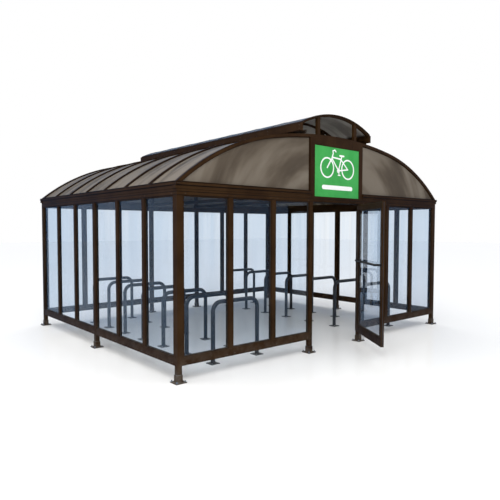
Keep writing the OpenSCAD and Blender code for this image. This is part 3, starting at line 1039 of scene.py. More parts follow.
@dataclass
class Walls:
    """Glazing beads, rubbers, header lines and corner covers of the four walls."""

    plan: Plan
    bead_w: float = 0.014
    rubber_w: float = 0.006
    rubber_t: float = 0.003
    line_z: float = 0.044
    screw: float = 0.005
    rivet: float = 0.0035
    stop_w: float = 0.014
    leaf_foot: float = 0.17

    def glaze(self, name: str, across: Axis, at: float, panes: Iterable[tuple[float, float]]) -> None:
        """Beads and rubbers round each pane of a wall, on both faces.

        Args:
            name: the wall's name.
            across: the axis through the wall.
            at: the wall's middle along that axis.
            panes: start and end of each pane along the wall.
        """
        beads, rubbers = Solid(), Solid()
        p = self.plan
        for lo, hi in panes:
            for s in (-1, 1):
                glass, inner, outer = (at + s * v for v in (p.glass_t / 2, p.glass_t / 2 + self.rubber_t,
                                                            p.bar_d / 2 - 0.004))

                def corner(along: float, through: float, z: float) -> tuple[float, float, float]:
                    """A point in X, Y, Z order."""
                    return (through, along, z) if across is Axis.X else (along, through, z)

                d0, d1 = sorted((inner, outer))
                beads.ring(across, corner(lo, d0, p.rail_top), corner(hi, d1, p.header_z),
                           self.bead_w, 0.0012)
                g0, g1 = sorted((glass, inner))
                e = self.bead_w - 0.006
                rubbers.ring(across, corner(lo + e, g0, p.rail_top + e), corner(hi - e, g1, p.header_z - e),
                             self.rubber_w + 0.003, 0.0006)
        beads.done(f"{name}_glazing_beads", BRONZE_TRIM)
        rubbers.done(f"{name}_glazing_rubbers", RUBBER, slot=Slot.BLACK)

    def header_lines(self) -> None:
        """Raised lines and drip lips round the header and the stepped eave, in near-black bronze that paints
        the shade of the shadow lines between the boards.
        """
        p, s = self.plan, Solid()
        w, d, gap = p.half_w, p.half_d, p.sign_half + p.upright

        def band(out: float, z0: float, z1: float, proud: float, broken: bool) -> None:
            """A line round the four walls.

            Args:
                out: how far the beam stands out from the wall.
                z0: its lower edge.
                z1: its upper edge.
                proud: how far it stands out from the beam.
                broken: stops at the sign's uprights.
            """
            x, y = w + out, d + out
            for t in (-1, 1):
                a, b = sorted((t * y, t * (y + proud)))
                runs = [(-x - proud, -gap), (gap, x + proud)] if broken else [(-x - proud, x + proud)]
                for lo, hi in runs:
                    s.box((lo, a, z0), (hi, b, z1), 0.0006)
                a, b = sorted((t * x, t * (x + proud)))
                s.box((a, -y, z0), (b, y, z1), 0.0006)

        z = p.header_z + self.line_z
        band(0.0, z - 0.003, z + 0.003, 0.0025, False)
        band(0.0, p.header_z, p.header_z + 0.005, 0.0025, False)
        band(p.frieze_out, p.frieze_top - 0.006, p.frieze_top, 0.004, True)
        band(p.eave_out, p.eave_top - 0.006, p.eave_top, 0.003, True)
        band(p.eave_out, p.frieze_top, p.frieze_top + 0.004, 0.002, True)
        s.done("header_lines", GROOVE_SHADE)

    def corner_covers(self) -> None:
        """Thin folded covers over the eave's mitres, each with its rivets."""
        p, s, r = self.plan, Solid(), Solid()
        t, reach = 0.0018, 0.055
        x, y = p.half_w + p.eave_out, p.half_d + p.eave_out
        z0, z1 = p.frieze_top + 0.006, p.eave_top - 0.008
        for sx, sy in product((-1, 1), repeat=2):
            for lo, hi in (((x - reach, y), (x + t, y + t)), ((x, y - reach), (x + t, y))):
                (x0, x1), (y0, y1) = sorted((sx * lo[0], sx * hi[0])), sorted((sy * lo[1], sy * hi[1]))
                s.box((x0, y0, z0), (x1, y1, z1), 0.0004)
            for k in (0.018, 0.042):
                r.screw((sx * (x - k), sy * (y + t), (z0 + z1) / 2), (0, sy, 0), self.rivet)
                r.screw((sx * (x + t), sy * (y - k), (z0 + z1) / 2), (sx, 0, 0), self.rivet)
        s.done("eave_corner_covers", BRONZE_TRIM)
        r.done("eave_corner_rivets", SCREW)

    def rail_screws(self) -> None:
        """Screws that hold the rails, bars and jambs to the posts, on the outside."""
        p, s = self.plan, Solid()
        face, inset = p.post / 2 - p.bar_d / 2, 0.03
        low, high = p.rail_z + inset, p.header_z + 0.022
        for side, (lo, hi) in product((-1, 1), p.front_panes):
            for x in (lo + inset, hi - inset):
                s.screw((x, side * (p.half_d - face), low), (0, side, 0), self.screw)
                s.screw((x, side * p.half_d, high), (0, side, 0), self.screw)
        for side, (lo, hi) in product((-1, 1), p.side_panes):
            for y in (lo + inset, hi - inset):
                s.screw((side * (p.half_w - face), y, low), (side, 0, 0), self.screw)
                s.screw((side * p.half_w, y, high), (side, 0, 0), self.screw)
        s.done("wall_screws", SCREW)

    def door_stops(self) -> None:
        """Stop strips with a rubber face, behind the closed leaf."""
        p, s, r = self.plan, Solid(), Solid()
        w, foot, head, x = self.stop_w, self.leaf_foot, p.header_z, p.door_half - self.stop_w
        y0, y1 = -p.half_d + 0.050, -p.half_d + p.post - 0.001
        for sx in (-1, 1):
            a, b = sorted((sx * p.door_half, sx * x))
            s.box((a, y0, foot), (b, y1, head - 0.001), 0.001)
            r.box((a + 0.003, y0 - 0.003, foot), (b - 0.003, y0 + 0.001, head - 0.016), 0.0008)
        s.box((-x, y0, head - w), (x, y1, head), 0.001)
        r.box((-x, y0 - 0.003, head - 0.011), (x, y0 + 0.001, head - 0.003), 0.0008)
        s.done("door_stop_strips", BRONZE_TRIM)
        r.done("door_stop_rubbers", RUBBER, slot=Slot.BLACK)

    def build(self) -> None:
        """Builds every piece of the walls."""
        p = self.plan
        y, x = p.half_d - p.post / 2, p.half_w - p.post / 2
        self.glaze("front", Axis.Y, -y, p.front_panes)
        self.glaze("back", Axis.Y, y, p.back_panes)
        self.glaze("left", Axis.X, -x, p.side_panes)
        self.glaze("right", Axis.X, x, p.side_panes)
        self.header_lines()
        self.corner_covers()
        self.rail_screws()
        self.door_stops()


@dataclass
class Feet:
    """Anchor bolts and weld beads of the base plates."""

    plan: Plan
    pitch: float = 0.116
    plate_t: float = 0.010
    sleeve: float = 0.076
    sleeve_top: float = 0.094
    stud: float = 0.006

    def bolt(self, s: Solid, x: float, y: float, z: float, size: float, spin: float) -> None:
        """A washer, a nut and the end of its stud.

        Args:
            s: the mesh it goes into.
            x: its place along X.
            y: its place along Y.
            z: the surface it stands on.
            size: radius of the stud.
            spin: turn of the nut, in radians.
        """
        up, washer = (0, 0, 1), 0.0025
        profile = [(0, 0), (2.0 * size, 0), (2.0 * size, 0.0020), (1.9 * size, washer), (0, washer)]
        s.turned(profile, (x, y, z), up, 20)
        s.hex_prism(3.1 * size, 1.7 * size, (x, y, z + washer), up, spin)
        top = washer + 1.7 * size
        tip = [(0, top - 0.001), (size, top - 0.001), (size, top + 0.007), (0.8 * size, top + 0.009),
               (0, top + 0.009)]
        s.turned(tip, (x, y, z), up, 12)

    def build(self) -> None:
        """Builds the bolts, welds and sleeve caps."""
        bolts, welds, caps = Solid(), Solid(), Solid()
        for i, (x, y) in enumerate(self.plan.posts):
            for k, (sx, sy) in enumerate(product((-1, 1), repeat=2)):
                bx, by = x + sx * self.pitch / 2, y + sy * self.pitch / 2
                self.bolt(bolts, bx, by, self.plate_t, self.stud, 0.7 * i + 1.3 * k)
            self.skirt(welds, x, y, self.sleeve / 2, self.plate_t, 0.008)
            self.skirt(caps, x, y, self.plan.post / 2, self.sleeve_top, 0.006)
        bolts.done("anchor_bolts", ZINC, slot=Slot.FOOT)
        welds.done("foot_welds", FOOT, slot=Slot.FOOT)
        caps.done("foot_seals", RUBBER, slot=Slot.FOOT)

    @staticmethod
    def skirt(s: Solid, x: float, y: float, half: float, z: float, size: float) -> None:
        """A fillet round the foot of a square tube.

        Args:
            s: the mesh it goes into.
            x: middle along X.
            y: middle along Y.
            half: half of the tube's side.
            z: the surface it stands on.
            size: leg of the fillet.
        """
        r = 0.004
        path = []
        for cx, cy, a0 in ((1, 1, 0), (-1, 1, 90), (-1, -1, 180), (1, -1, 270)):
            for k in range(4):
                t = math.radians(a0 + 30 * k)
                path.append((cx * (half - r), cy * (half - r), math.cos(t), math.sin(t)))
        rows = []
        for px, py, dx, dy in path:
            rows.append([(x + px + dx * (r + o), y + py + dy * (r + o), z + h)
                         for o, h in ((-0.001, 0), (size, 0), (size * 0.55, size * 0.5), (-0.001, size))])
        s.sweep(rows, smooth=True, closed=True)


@dataclass
class Roof:
    """Rib caps, rubbers, screws, edge profiles and flashings of the roof."""

    plan: Plan
    arch: Arch
    bays: int = 7
    rim_w: float = 0.062
    rib_w: float = 0.046
    sheet_drop: float = 0.020
    rib_h: float = 0.014
    kerb_x: float = 0.736
    screw: float = 0.0065

    def rib_ys(self) -> list[float]:
        """Middle of each rib and end arch along Y."""
        d = self.plan.half_d
        return [-d + self.rim_w / 2 + i * (2 * d - self.rim_w) / self.bays for i in range(self.bays + 1)]

    def build(self) -> None:
        """Builds every piece of the roof."""
        caps, rubbers, screws = Solid(), Solid(), Solid()
        top = -self.sheet_drop
        rib = top + self.rib_h
        a_foot = self.arch.angle_at_z(self.plan.eave_top + 0.004, self.sheet_drop)
        a_kerb = self.arch.angle_at_x(self.kerb_x + 0.002, self.sheet_drop)
        for y in self.rib_ys()[1:-1]:
            for s in (-1, 1):
                for half, low, high in ((0.026, rib - 0.001, rib + 0.003), (0.014, rib + 0.002, rib + 0.009)):
                    self.arch.strip(caps, s * a_kerb, s * a_foot, y - half, y + half, low, high)
                for side in (-1, 1):
                    lo, hi = sorted((y + side * self.rib_w / 2, y + side * (self.rib_w / 2 + 0.009)))
                    self.arch.strip(rubbers, s * a_kerb, s * a_foot, lo, hi, top - 0.0005, top + 0.003)
                for k in range(8):
                    a = a_kerb + (a_foot - a_kerb) * (k + 0.5) / 8
                    x, z = self.arch.at(s * a, -(rib + 0.009))
                    screws.screw((x, y, z), (math.sin(s * a), 0, math.cos(a)), self.screw)
        a_end = self.arch.angle_at_z(self.plan.eave_top + 0.002)
        d = self.plan.half_d
        for t in (-1, 1):
            lo, hi = sorted((t * d, t * (d - 0.012)))
            self.arch.strip(caps, -a_end, a_end, lo, hi, -0.001, 0.004, 56)
            lo, hi = sorted((t * (d - self.rim_w), t * (d - self.rim_w - 0.007)))
            for s in (-1, 1):
                self.arch.strip(rubbers, s * a_kerb, s * a_foot, lo, hi, top - 0.0005, top + 0.003)
                for k in range(9):
                    a = a_kerb + (a_end - a_kerb) * (k + 0.5) / 9
                    x, z = self.arch.at(s * a)
                    spot = (x, t * (d - self.rim_w / 2 - 0.006), z)
                    screws.screw(spot, (math.sin(s * a), 0, math.cos(a)), self.screw)
        caps.done("rib_caps", BRONZE_TRIM)
        rubbers.done("rib_rubbers", RUBBER, slot=Slot.BLACK)
        screws.done("roof_screws", SCREW)
        self.edges()

    def edges(self) -> None:
        """Profiles along the sheets' feet and flashings along the ridge kerbs."""
        feet, flash = Solid(), Solid()
        d = self.plan.half_d - self.rim_w
        z = self.plan.eave_top
        a = self.arch.angle_at_z(z, self.sheet_drop)
        x = self.arch.at(a, self.sheet_drop)[0]
        ys = self.rib_ys()
        for s in (-1, 1):
            for y0, y1 in zip(ys, ys[1:]):
                lo, hi = max(-d, y0 + self.rib_w / 2), min(d, y1 - self.rib_w / 2)
                for near, far, high in ((0.001, 0.005, 0.016), (-0.030, -0.024, 0.010)):
                    a, b = sorted((s * (x + near), s * (x + far)))
                    feet.box((a, lo, z - 0.0005), (b, hi, z + high), 0.0008)
            a0, a1 = (self.arch.angle_at_x(self.kerb_x + v, self.sheet_drop) for v in (0.001, 0.045))
            low, high, side = -self.sheet_drop - 0.0005, -self.sheet_drop + 0.003, self.rib_w / 2 + 0.007
            for y0, y1 in zip(ys, ys[1:]):
                self.arch.strip(flash, s * a0, s * a1, max(-d, y0 + side), min(d, y1 - side), low, high, 4)
        feet.done("sheet_foot_profiles", BRONZE_TRIM)
        flash.done("ridge_flashings", BRONZE_TRIM)


@dataclass
class Gable:
    """Beads round the gable sheets and the sign with its bicycle symbol."""

    plan: Plan
    arch: Arch
    rim_h: float = 0.040
    rim_w: float = 0.062
    bead: float = 0.010
    screw: float = 0.006
    wheel_x: float = 0.245
    wheel: tuple[float, float] = (0.135, 0.158)
    symbol_z: float = 0.452

    def beads(self) -> None:
        """Beads along the arch, the eave and the upright of each gable sheet."""
        p, s, h = self.plan, Solid(), self.rim_h
        x0 = p.sign_half + p.upright
        a0 = self.arch.angle_at_x(x0, h)
        a1 = self.arch.angle_at_z(p.eave_top + self.bead, h)
        x1 = self.arch.at(self.arch.angle_at_z(p.eave_top, h), h)[0]
        for t, side in product((-1, 1), repeat=2):
            y0, y1 = sorted(t * (p.half_d - self.rim_w / 2 + v) for v in (0.005, 0.017))
            self.arch.strip(s, side * a0, side * a1, y0, y1, -h - self.bead, -h + 0.0005, 30)
            lo, hi = sorted((side * (x0 + self.bead), side * (x1 - 0.02)))
            s.box((lo, y0, p.eave_top), (hi, y1, p.eave_top + self.bead))
            lo, hi = sorted((side * x0, side * (x0 + self.bead)))
            s.box((lo, y0, p.eave_top), (hi, y1, self.arch.at(a0, h)[1] - 0.002))
        s.done("gable_beads", BRONZE_TRIM)

    @staticmethod
    def bar(s: Solid, a: tuple[float, float], b: tuple[float, float],
            w: float, y: float, back: float) -> None:
        """A flat bar with round ends on the sign.

        Args:
            s: the mesh it goes into.
            a: one end.
            b: the other end.
            w: its width.
            y: its front face.
            back: its back face.
        """
        turn = math.atan2(b[1] - a[1], b[0] - a[0])
        outline = []
        for (cx, cz), start in ((b, -90), (a, 90)):
            for k in range(9):
                t = turn + math.radians(start + 22.5 * k)
                outline.append((cx + w / 2 * math.cos(t), cz + w / 2 * math.sin(t)))
        s.plate(outline, y, back)

    def symbol(self) -> None:
        """A plain bicycle and a plain bar below it, in raised white enamel."""
        s = Solid()
        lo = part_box("sign_board")[0]
        face = lo.y
        back = face + 0.0003
        zc = lo.z + self.symbol_z
        small, big = self.wheel
        layers = iter(face - 0.0015 - 0.00002 * k for k in range(40))
        hub_l, hub_r = (-self.wheel_x, zc), (self.wheel_x, zc)
        for cx, _ in (hub_l, hub_r):
            y = next(layers)
            turns = [2 * math.pi * k / 48 for k in range(48)]
            s.sweep([[(cx + math.cos(t) * r, d, zc + math.sin(t) * r)
                      for r, d in ((big, y), (small, y), (small, back), (big, back))] for t in turns],
                    smooth=False, closed=True)
        crank, seat, head = (0.02, zc - 0.03), (0.088, zc + 0.168), (-0.137, zc + 0.150)
        stem, grip = (-0.108, zc + 0.225), (-0.118, zc + 0.262)
        bars = [
            (hub_l, head, 0.022), (head, stem, 0.022), (head, (-0.128, zc + 0.173), 0.022),
            ((-0.131, zc + 0.165), (0.082, zc + 0.150), 0.022), ((-0.134, zc + 0.143), crank, 0.022),
            (crank, seat, 0.022), (crank, hub_r, 0.020), (hub_r, (0.080, zc + 0.142), 0.020),
            (seat, (0.094, zc + 0.190), 0.022), ((0.050, zc + 0.202), (0.145, zc + 0.202), 0.026),
            (stem, grip, 0.020), (grip, (-0.070, zc + 0.278), 0.020),
            ((-0.070, zc + 0.278), (-0.045, zc + 0.255), 0.020), (crank, (0.035, zc - 0.095), 0.016),
            ((0.012, zc - 0.100), (0.062, zc - 0.100), 0.016),
        ]
        for a, b, w in bars:
            self.bar(s, a, b, w, next(layers), back)
        boss = [(0, 0.0003), (0.036, 0.0003), (0.036, -0.0013), (0, -0.0013)]
        s.turned(boss, (crank[0], face, crank[1]), (0, 1, 0), 24)
        self.bar(s, (-0.33, lo.z + 0.155), (0.33, lo.z + 0.155), 0.066, next(layers), back)
        s.done("bicycle_symbol", WHITE, slot=Slot.SIGN)

    def sign_trim(self) -> None:
        """A bead round the sign board and its screws."""
        s, r = Solid(), Solid()
        lo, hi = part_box("sign_board")
        s.ring(Axis.Y, (lo.x, lo.y - 0.003, lo.z), (hi.x, lo.y + 0.0005, hi.z), 0.008, 0.0008)
        for x, z in product((-0.49, 0.0, 0.49), (lo.z + 0.035, hi.z - 0.035)):
            r.screw((x, lo.y, z), (0, -1, 0), self.screw)
        for z, x in product((lo.z + 0.26, lo.z + 0.52), (-0.49, 0.49)):
            r.screw((x, lo.y, z), (0, -1, 0), self.screw)
        s.done("sign_bead", BRONZE_TRIM)
        r.done("sign_screws", GREEN, slot=Slot.SIGN)

    def build(self) -> None:
        """Builds every piece of the gables and the sign."""
        self.beads()
        self.symbol()
        self.sign_trim()


@dataclass
class RidgeVent:
    """Trims, louvres, edge profiles and screws of the raised vent."""

    plan: Plan
    ribs: list[float]
    r: float = 1.716
    crown: float = 3.585
    half: float = 0.830
    eave_w: float = 0.044
    sheet_t: float = 0.012
    screw: float = 0.0055

    def build(self) -> None:
        """Builds every piece of the vent."""
        trim, screws = Solid(), Solid()
        centre = self.crown - self.r
        a1 = math.asin((self.half - self.eave_w) / self.r)
        d = self.plan.half_d

        def strip(y0: float, y1: float, low: float, high: float) -> None:
            """A strip over the vent's sheet.

            Args:
                y0: near edge.
                y1: far edge.
                low: height of its underside over the sheet.
                high: height of its top over the sheet.
            """
            rows = []
            for k in range(25):
                a = -a1 + 2 * a1 * k / 24
                rows.append([((self.r + h) * math.sin(a), y, centre + (self.r + h) * math.cos(a))
                             for h, y in ((low, y0), (low, y1), (high, y1), (high, y0))])
            trim.sweep(rows, smooth=False)

        for y in self.ribs[1:-1]:
            strip(y - 0.014, y + 0.014, -0.0005, 0.003)
        for t in (-1, 1):
            lo, hi = sorted((t * (d + 0.003), t * (d - 0.030)))
            strip(lo, hi, -0.0005, 0.003)
            lo, hi = sorted((t * d, t * (d + 0.003)))
            strip(lo, hi, -self.sheet_t - 0.006, 0.0)
        r = self.r + 0.003
        for y, k in product(self.ribs, range(7)):
            a = a1 * (k - 3) / 3.4
            spot = (r * math.sin(a), max(-d + 0.014, min(d - 0.014, y)), centre + r * math.cos(a))
            screws.screw(spot, (math.sin(a), 0, math.cos(a)), self.screw)
        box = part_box("vent_eaves")
        for s in (-1, 1):
            x = s * self.half
            lo, hi = sorted((x, x + s * 0.0025))
            trim.box((lo, -d, box[1].z - 0.008), (hi, d, box[1].z), 0.0006)
            trim.box((lo, -d, box[0].z), (hi, d, box[0].z + 0.006), 0.0006)
            for y, z in product(self.ribs, (box[0].z + 0.03, box[1].z - 0.03)):
                screws.screw((x, max(-d + 0.02, min(d - 0.02, y)), z), (s, 0, 0), self.screw)
        self.louvres()
        self.edge_profiles()
        trim.done("vent_trims", BRONZE_TRIM)
        screws.done("vent_screws", SCREW)

    def louvres(self) -> None:
        """Sloping slats between the ridge kerbs and the vent's eave beams, with their brackets."""
        s = Solid()
        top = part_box("ridge_kerbs")[1].z
        end = self.plan.half_d - 0.004
        inner = self.plan.half_d - 0.064
        for side in (-1, 1):
            for k in range(4):
                z = top + 0.020 + 0.013 * k
                profile = ((0.700, z + 0.009), (0.700, z + 0.0115), (0.726, z - 0.0065), (0.726, z - 0.009))
                s.sweep([[(side * x, y, h) for x, h in profile] for y in (-end, end)], smooth=False)
            a, b = sorted((side * 0.700, side * 0.726))
            s.box((a, -inner, top), (b, inner, top + 0.012), 0.0008)
            a, b = sorted((side * 0.698, side * 0.729))
            for y in self.ribs[1:-1]:
                s.box((a, y - 0.0015, top), (b, y + 0.0015, top + 0.072), 0.0004)
        s.done("vent_louvres", BRONZE_TRIM)

    def edge_profiles(self) -> None:
        """Folded profiles that close the joint between the vent's sheet and its eave beams."""
        s = Solid()
        x = self.half - self.eave_w
        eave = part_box("vent_eaves")[1].z
        d = self.plan.half_d + 0.002

        def top(at: float) -> float:
            """Height of the sheet's outer face."""
            return self.crown - self.r + math.sqrt(self.r**2 - at**2)

        inner = x - 0.012
        outline = ((x + 0.0005, eave - 0.0005), (x + 0.024, eave - 0.0005), (x + 0.024, eave + 0.003),
                   (x + 0.008, top(x) + 0.0015), (inner, top(inner) + 0.0035), (inner, top(inner) - 0.0003),
                   (x + 0.0005, top(x) - 0.0003))
        for side in (-1, 1):
            s.sweep([[(side * px, y, pz) for px, pz in outline] for y in (-d, d)], smooth=False)
        s.done("vent_edge_profiles", BRONZE_TRIM)


@dataclass
class Inside:
    """Angle brackets, plates and screws of the joints seen from inside."""

    plan: Plan
    tie_x: float = 0.575
    tie_half: float = 0.030
    screw: float = 0.0055

    def build(self) -> None:
        """Builds the brackets under the tie beams and along the ridge."""
        s, r = Solid(), Solid()
        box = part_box("tie_beams")
        y = self.plan.half_d - self.plan.post
        for sx, sy in product((-1, 1), repeat=2):
            x = sx * self.tie_x
            for k in (-1, 1):
                for wide, deep in ((0.005, 0.055), (0.045, 0.005)):
                    a, b = sorted((x + k * self.tie_half, x + k * (self.tie_half + wide)))
                    lo, hi = sorted((sy * (y - deep), sy * y))
                    s.box((a, lo, box[0].z + 0.008), (b, hi, box[1].z - 0.008), 0.0008)
                for z in (box[0].z + 0.020, box[1].z - 0.020):
                    r.screw((x + k * (self.tie_half + 0.005), sy * (y - 0.034), z), (k, 0, 0), self.screw)
                    r.screw((x + k * (self.tie_half + 0.028), sy * (y - 0.005), z), (0, -sy, 0), self.screw)
        head = self.plan.header_z
        for px, py in self.plan.posts:
            if abs(px) < self.plan.half_w - self.plan.post:
                continue
            in_x = -math.copysign(1, px)
            face = px + in_x * self.plan.post / 2
            a, b = sorted((face, face + in_x * 0.004))
            s.box((a, py - 0.022, head - 0.070), (b, py + 0.022, head + 0.055), 0.0008)
            for z in (head - 0.045, head + 0.032):
                r.screw((face + in_x * 0.004, py, z), (in_x, 0, 0), self.screw)
        s.done("joint_brackets", BRONZE_TRIM)
        r.done("joint_screws", SCREW)


@dataclass
class Racks:
    """Flange bolts and weld beads of the hoops."""

    plan: Plan
    hoops: int = 7
    first: float = 0.450
    pitch: float = 0.650
    span: float = 0.800
    wall: float = 0.850
    pipe: float = 0.030
    flange_t: float = 0.008
    bolt_at: float = 0.050

    def build(self) -> None:
        """Builds the bolts and welds of both rows."""
        bolts, welds = Solid(), Solid()
        up, washer = (0, 0, 1), ((0, 0), (0.012, 0), (0.012, 0.002), (0, 0.002))
        fillet = ((-0.001, 0), (0.008, 0), (0.005, 0.0045), (-0.001, 0.008))
        for i in range(self.hoops):
            y = -self.plan.half_d + self.first + i * self.pitch
            for s, k in product((-1, 1), repeat=2):
                x = s * (self.plan.half_w - self.wall - self.span / 2) + k * self.span / 2
                for sx, sy in product((-1, 1), repeat=2):
                    bx, by = x + sx * self.bolt_at, y + sy * self.bolt_at
                    bolts.turned(washer, (bx, by, self.flange_t), up, 14)
                    bolts.hex_prism(0.017, 0.007, (bx, by, self.flange_t + 0.002), up, 0.9 * i + sx + 2 * sy)
                turns = [2 * math.pi * m / 20 for m in range(20)]
                welds.sweep([[(x + math.cos(t) * (self.pipe + o), y + math.sin(t) * (self.pipe + o),
                               self.flange_t + h) for o, h in fillet] for t in turns], closed=True)
        bolts.done("flange_bolts", ZINC, slot=Slot.RACK)
        welds.done("flange_welds", RACK, slot=Slot.RACK)


@dataclass
class Door:
    """Beads, rubbers, roses, pins and screws of the hinged leaf."""

    plan: Plan
    open_deg: float = 55.5
    pin_out: float = 0.015
    gap: float = 0.008
    leaf_t: float = 0.045
    stile: float = 0.066
    top_h: float = 0.084
    bottom_h: float = 0.120
    glass_t: float = 0.008
    foot_z: float = 0.170
    bar_z: float = 1.335
    knuckle_h: float = 0.034

    @property
    def pin(self) -> tuple[float, float]:
        """The hinge pin's place."""
        return self.plan.door_half, -self.plan.half_d - self.pin_out

    def solid(self) -> Solid:
        """Starts a mesh whose points are given on the closed leaf, from the pin.

        Returns:
            The empty mesh.
        """
        s = Solid()
        s.turn = Matrix.Translation((*self.pin, 0)) @ Matrix.Rotation(math.radians(self.open_deg), 4, "Z")
        return s

    def build(self) -> None:
        """Builds every piece of the door."""
        length = 2 * self.plan.door_half - 2 * self.gap
        x1, x0 = -self.gap, -self.gap - length
        top = self.plan.header_z - self.gap
        y0, y1 = self.pin_out, self.pin_out + self.leaf_t
        ym = (y0 + y1) / 2
        beads, rubbers = self.solid(), self.solid()
        e = 0.007
        lo = (x0 + self.stile, self.foot_z + self.bottom_h)
        hi = (x1 - self.stile, top - self.top_h)
        for s in (-1, 1):
            a, b = sorted((ym + s * (self.glass_t / 2 + 0.003), ym + s * (self.leaf_t / 2 - 0.003)))
            beads.ring(Axis.Y, (lo[0], a, lo[1]), (hi[0], b, hi[1]), 0.013, 0.001)
            a, b = sorted((ym + s * self.glass_t / 2, ym + s * (self.glass_t / 2 + 0.003)))
            rubbers.ring(Axis.Y, (lo[0] + e, a, lo[1] + e), (hi[0] - e, b, hi[1] - e), 0.009, 0.0006)
        rubbers.box((x0 - 0.002, ym - 0.004, self.foot_z + 0.01),
                    (x0 + 0.0005, ym + 0.004, top - 0.01), 0.0005)
        beads.done("door_glazing_beads", BRONZE_TRIM, Body.DOOR)
        rubbers.done("door_rubbers", RUBBER, Body.DOOR, Slot.BLACK)
        self.joints(x0, x1, y0, y1, top)
        self.push_bar_roses(x0, x1, y1)
        self.hinges(y0, top)

    def joints(self, x0: float, x1: float, y0: float, y1: float, top: float) -> None:
        """Butt joint lines between the leaf's rails and stiles.

        Args:
            x0: free edge of the leaf.
            x1: hinge edge of the leaf.
            y0: outer face of the leaf.
            y1: inner face of the leaf.
            top: top of the leaf.
        """
        s = self.solid()
        w = 0.0012
        for x in (x0 + self.stile, x1 - self.stile):
            for z0, z1 in ((self.foot_z, self.foot_z + self.bottom_h), (top - self.top_h, top)):
                for y in ((y0 - 0.0002, y0 + 0.0004), (y1 - 0.0004, y1 + 0.0002)):
                    s.box((x - w / 2, y[0], z0), (x + w / 2, y[1], z1), 0.0001)
        s.done("leaf_joint_lines", RUBBER, Body.DOOR, Slot.BLACK)

    def push_bar_roses(self, x0: float, x1: float, y1: float) -> None:
        """Round roses with screws where the push bar meets the stiles.

        Args:
            x0: free edge of the leaf.
            x1: hinge edge of the leaf.
            y1: inner face of the leaf.
        """
        s = self.solid()
        rose = ((0, 0), (0.029, 0), (0.029, 0.003), (0.026, 0.005), (0.0185, 0.005), (0.0175, 0.008),
                (0, 0.008))
        for x in (x0 + self.stile / 2, x1 - self.stile / 2):
            s.turned(rose, (x, y1, self.bar_z), (0, 1, 0), 28)
            for dz in (-0.0235, 0.0235):
                s.screw((x, y1 + 0.0045, self.bar_z + dz), (0, 1, 0), 0.0033)
        s.done("push_bar_roses", BLACK, Body.DOOR, Slot.BLACK)

    def hinges(self, y0: float, top: float) -> None:
        """Pins, finials and screws of the three hinges.

        Args:
            y0: outer face of the leaf.
            top: top of the leaf.
        """
        pins, screws = Solid(), self.solid()
        finial = ((0, 0), (0.0085, 0), (0.0085, 0.003), (0.006, 0.005), (0.0065, 0.008), (0.004, 0.012),
                  (0, 0.013))
        for z in (self.foot_z + 0.18, (self.foot_z + top) / 2, top - 0.18):
            for s in (-1, 1):
                end = z + s * (1.5 * self.knuckle_h + 0.0003)
                pins.turned(finial, (*self.pin, end), (0, 0, s), 18)
            for x in (-0.022, -0.036):
                screws.screw((x, y0 - 0.006, z), (0, -1, 0), 0.004)
        pins.done("hinge_finials", BLACK, slot=Slot.HINGE)
        screws.done("hinge_screws", SCREW, Body.DOOR, Slot.HINGE)


@dataclass
class Frame:
    """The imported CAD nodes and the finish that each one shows."""

    finishes: dict[str, Finish] = field(default_factory=lambda: {
        **dict.fromkeys(("base_plates", "foot_sleeves"), FOOT),
        **dict.fromkeys(("front_glass", "back_glass", "left_glass", "right_glass", "door_glass"), GLASS),
        "roof_sheets": ROOF, "front_gable": GABLE, "back_gable": GABLE, "vent_sheet": VENT,
        "sign_board": GREEN, "rack_hoops": RACK, "rack_flanges": RACK, "push_bar": BLACK,
    })

    def dress(self) -> None:
        """Gives every CAD node its finish; the rest is bronze."""
        for name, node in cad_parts.items():
            material = self.finishes.get(name, BRONZE).material()
            if not node.material_slots:
                node.data.materials.append(material)
            for slot in node.material_slots:
                slot.material = material
            LOG.info("%s wears %s", name, material.name)


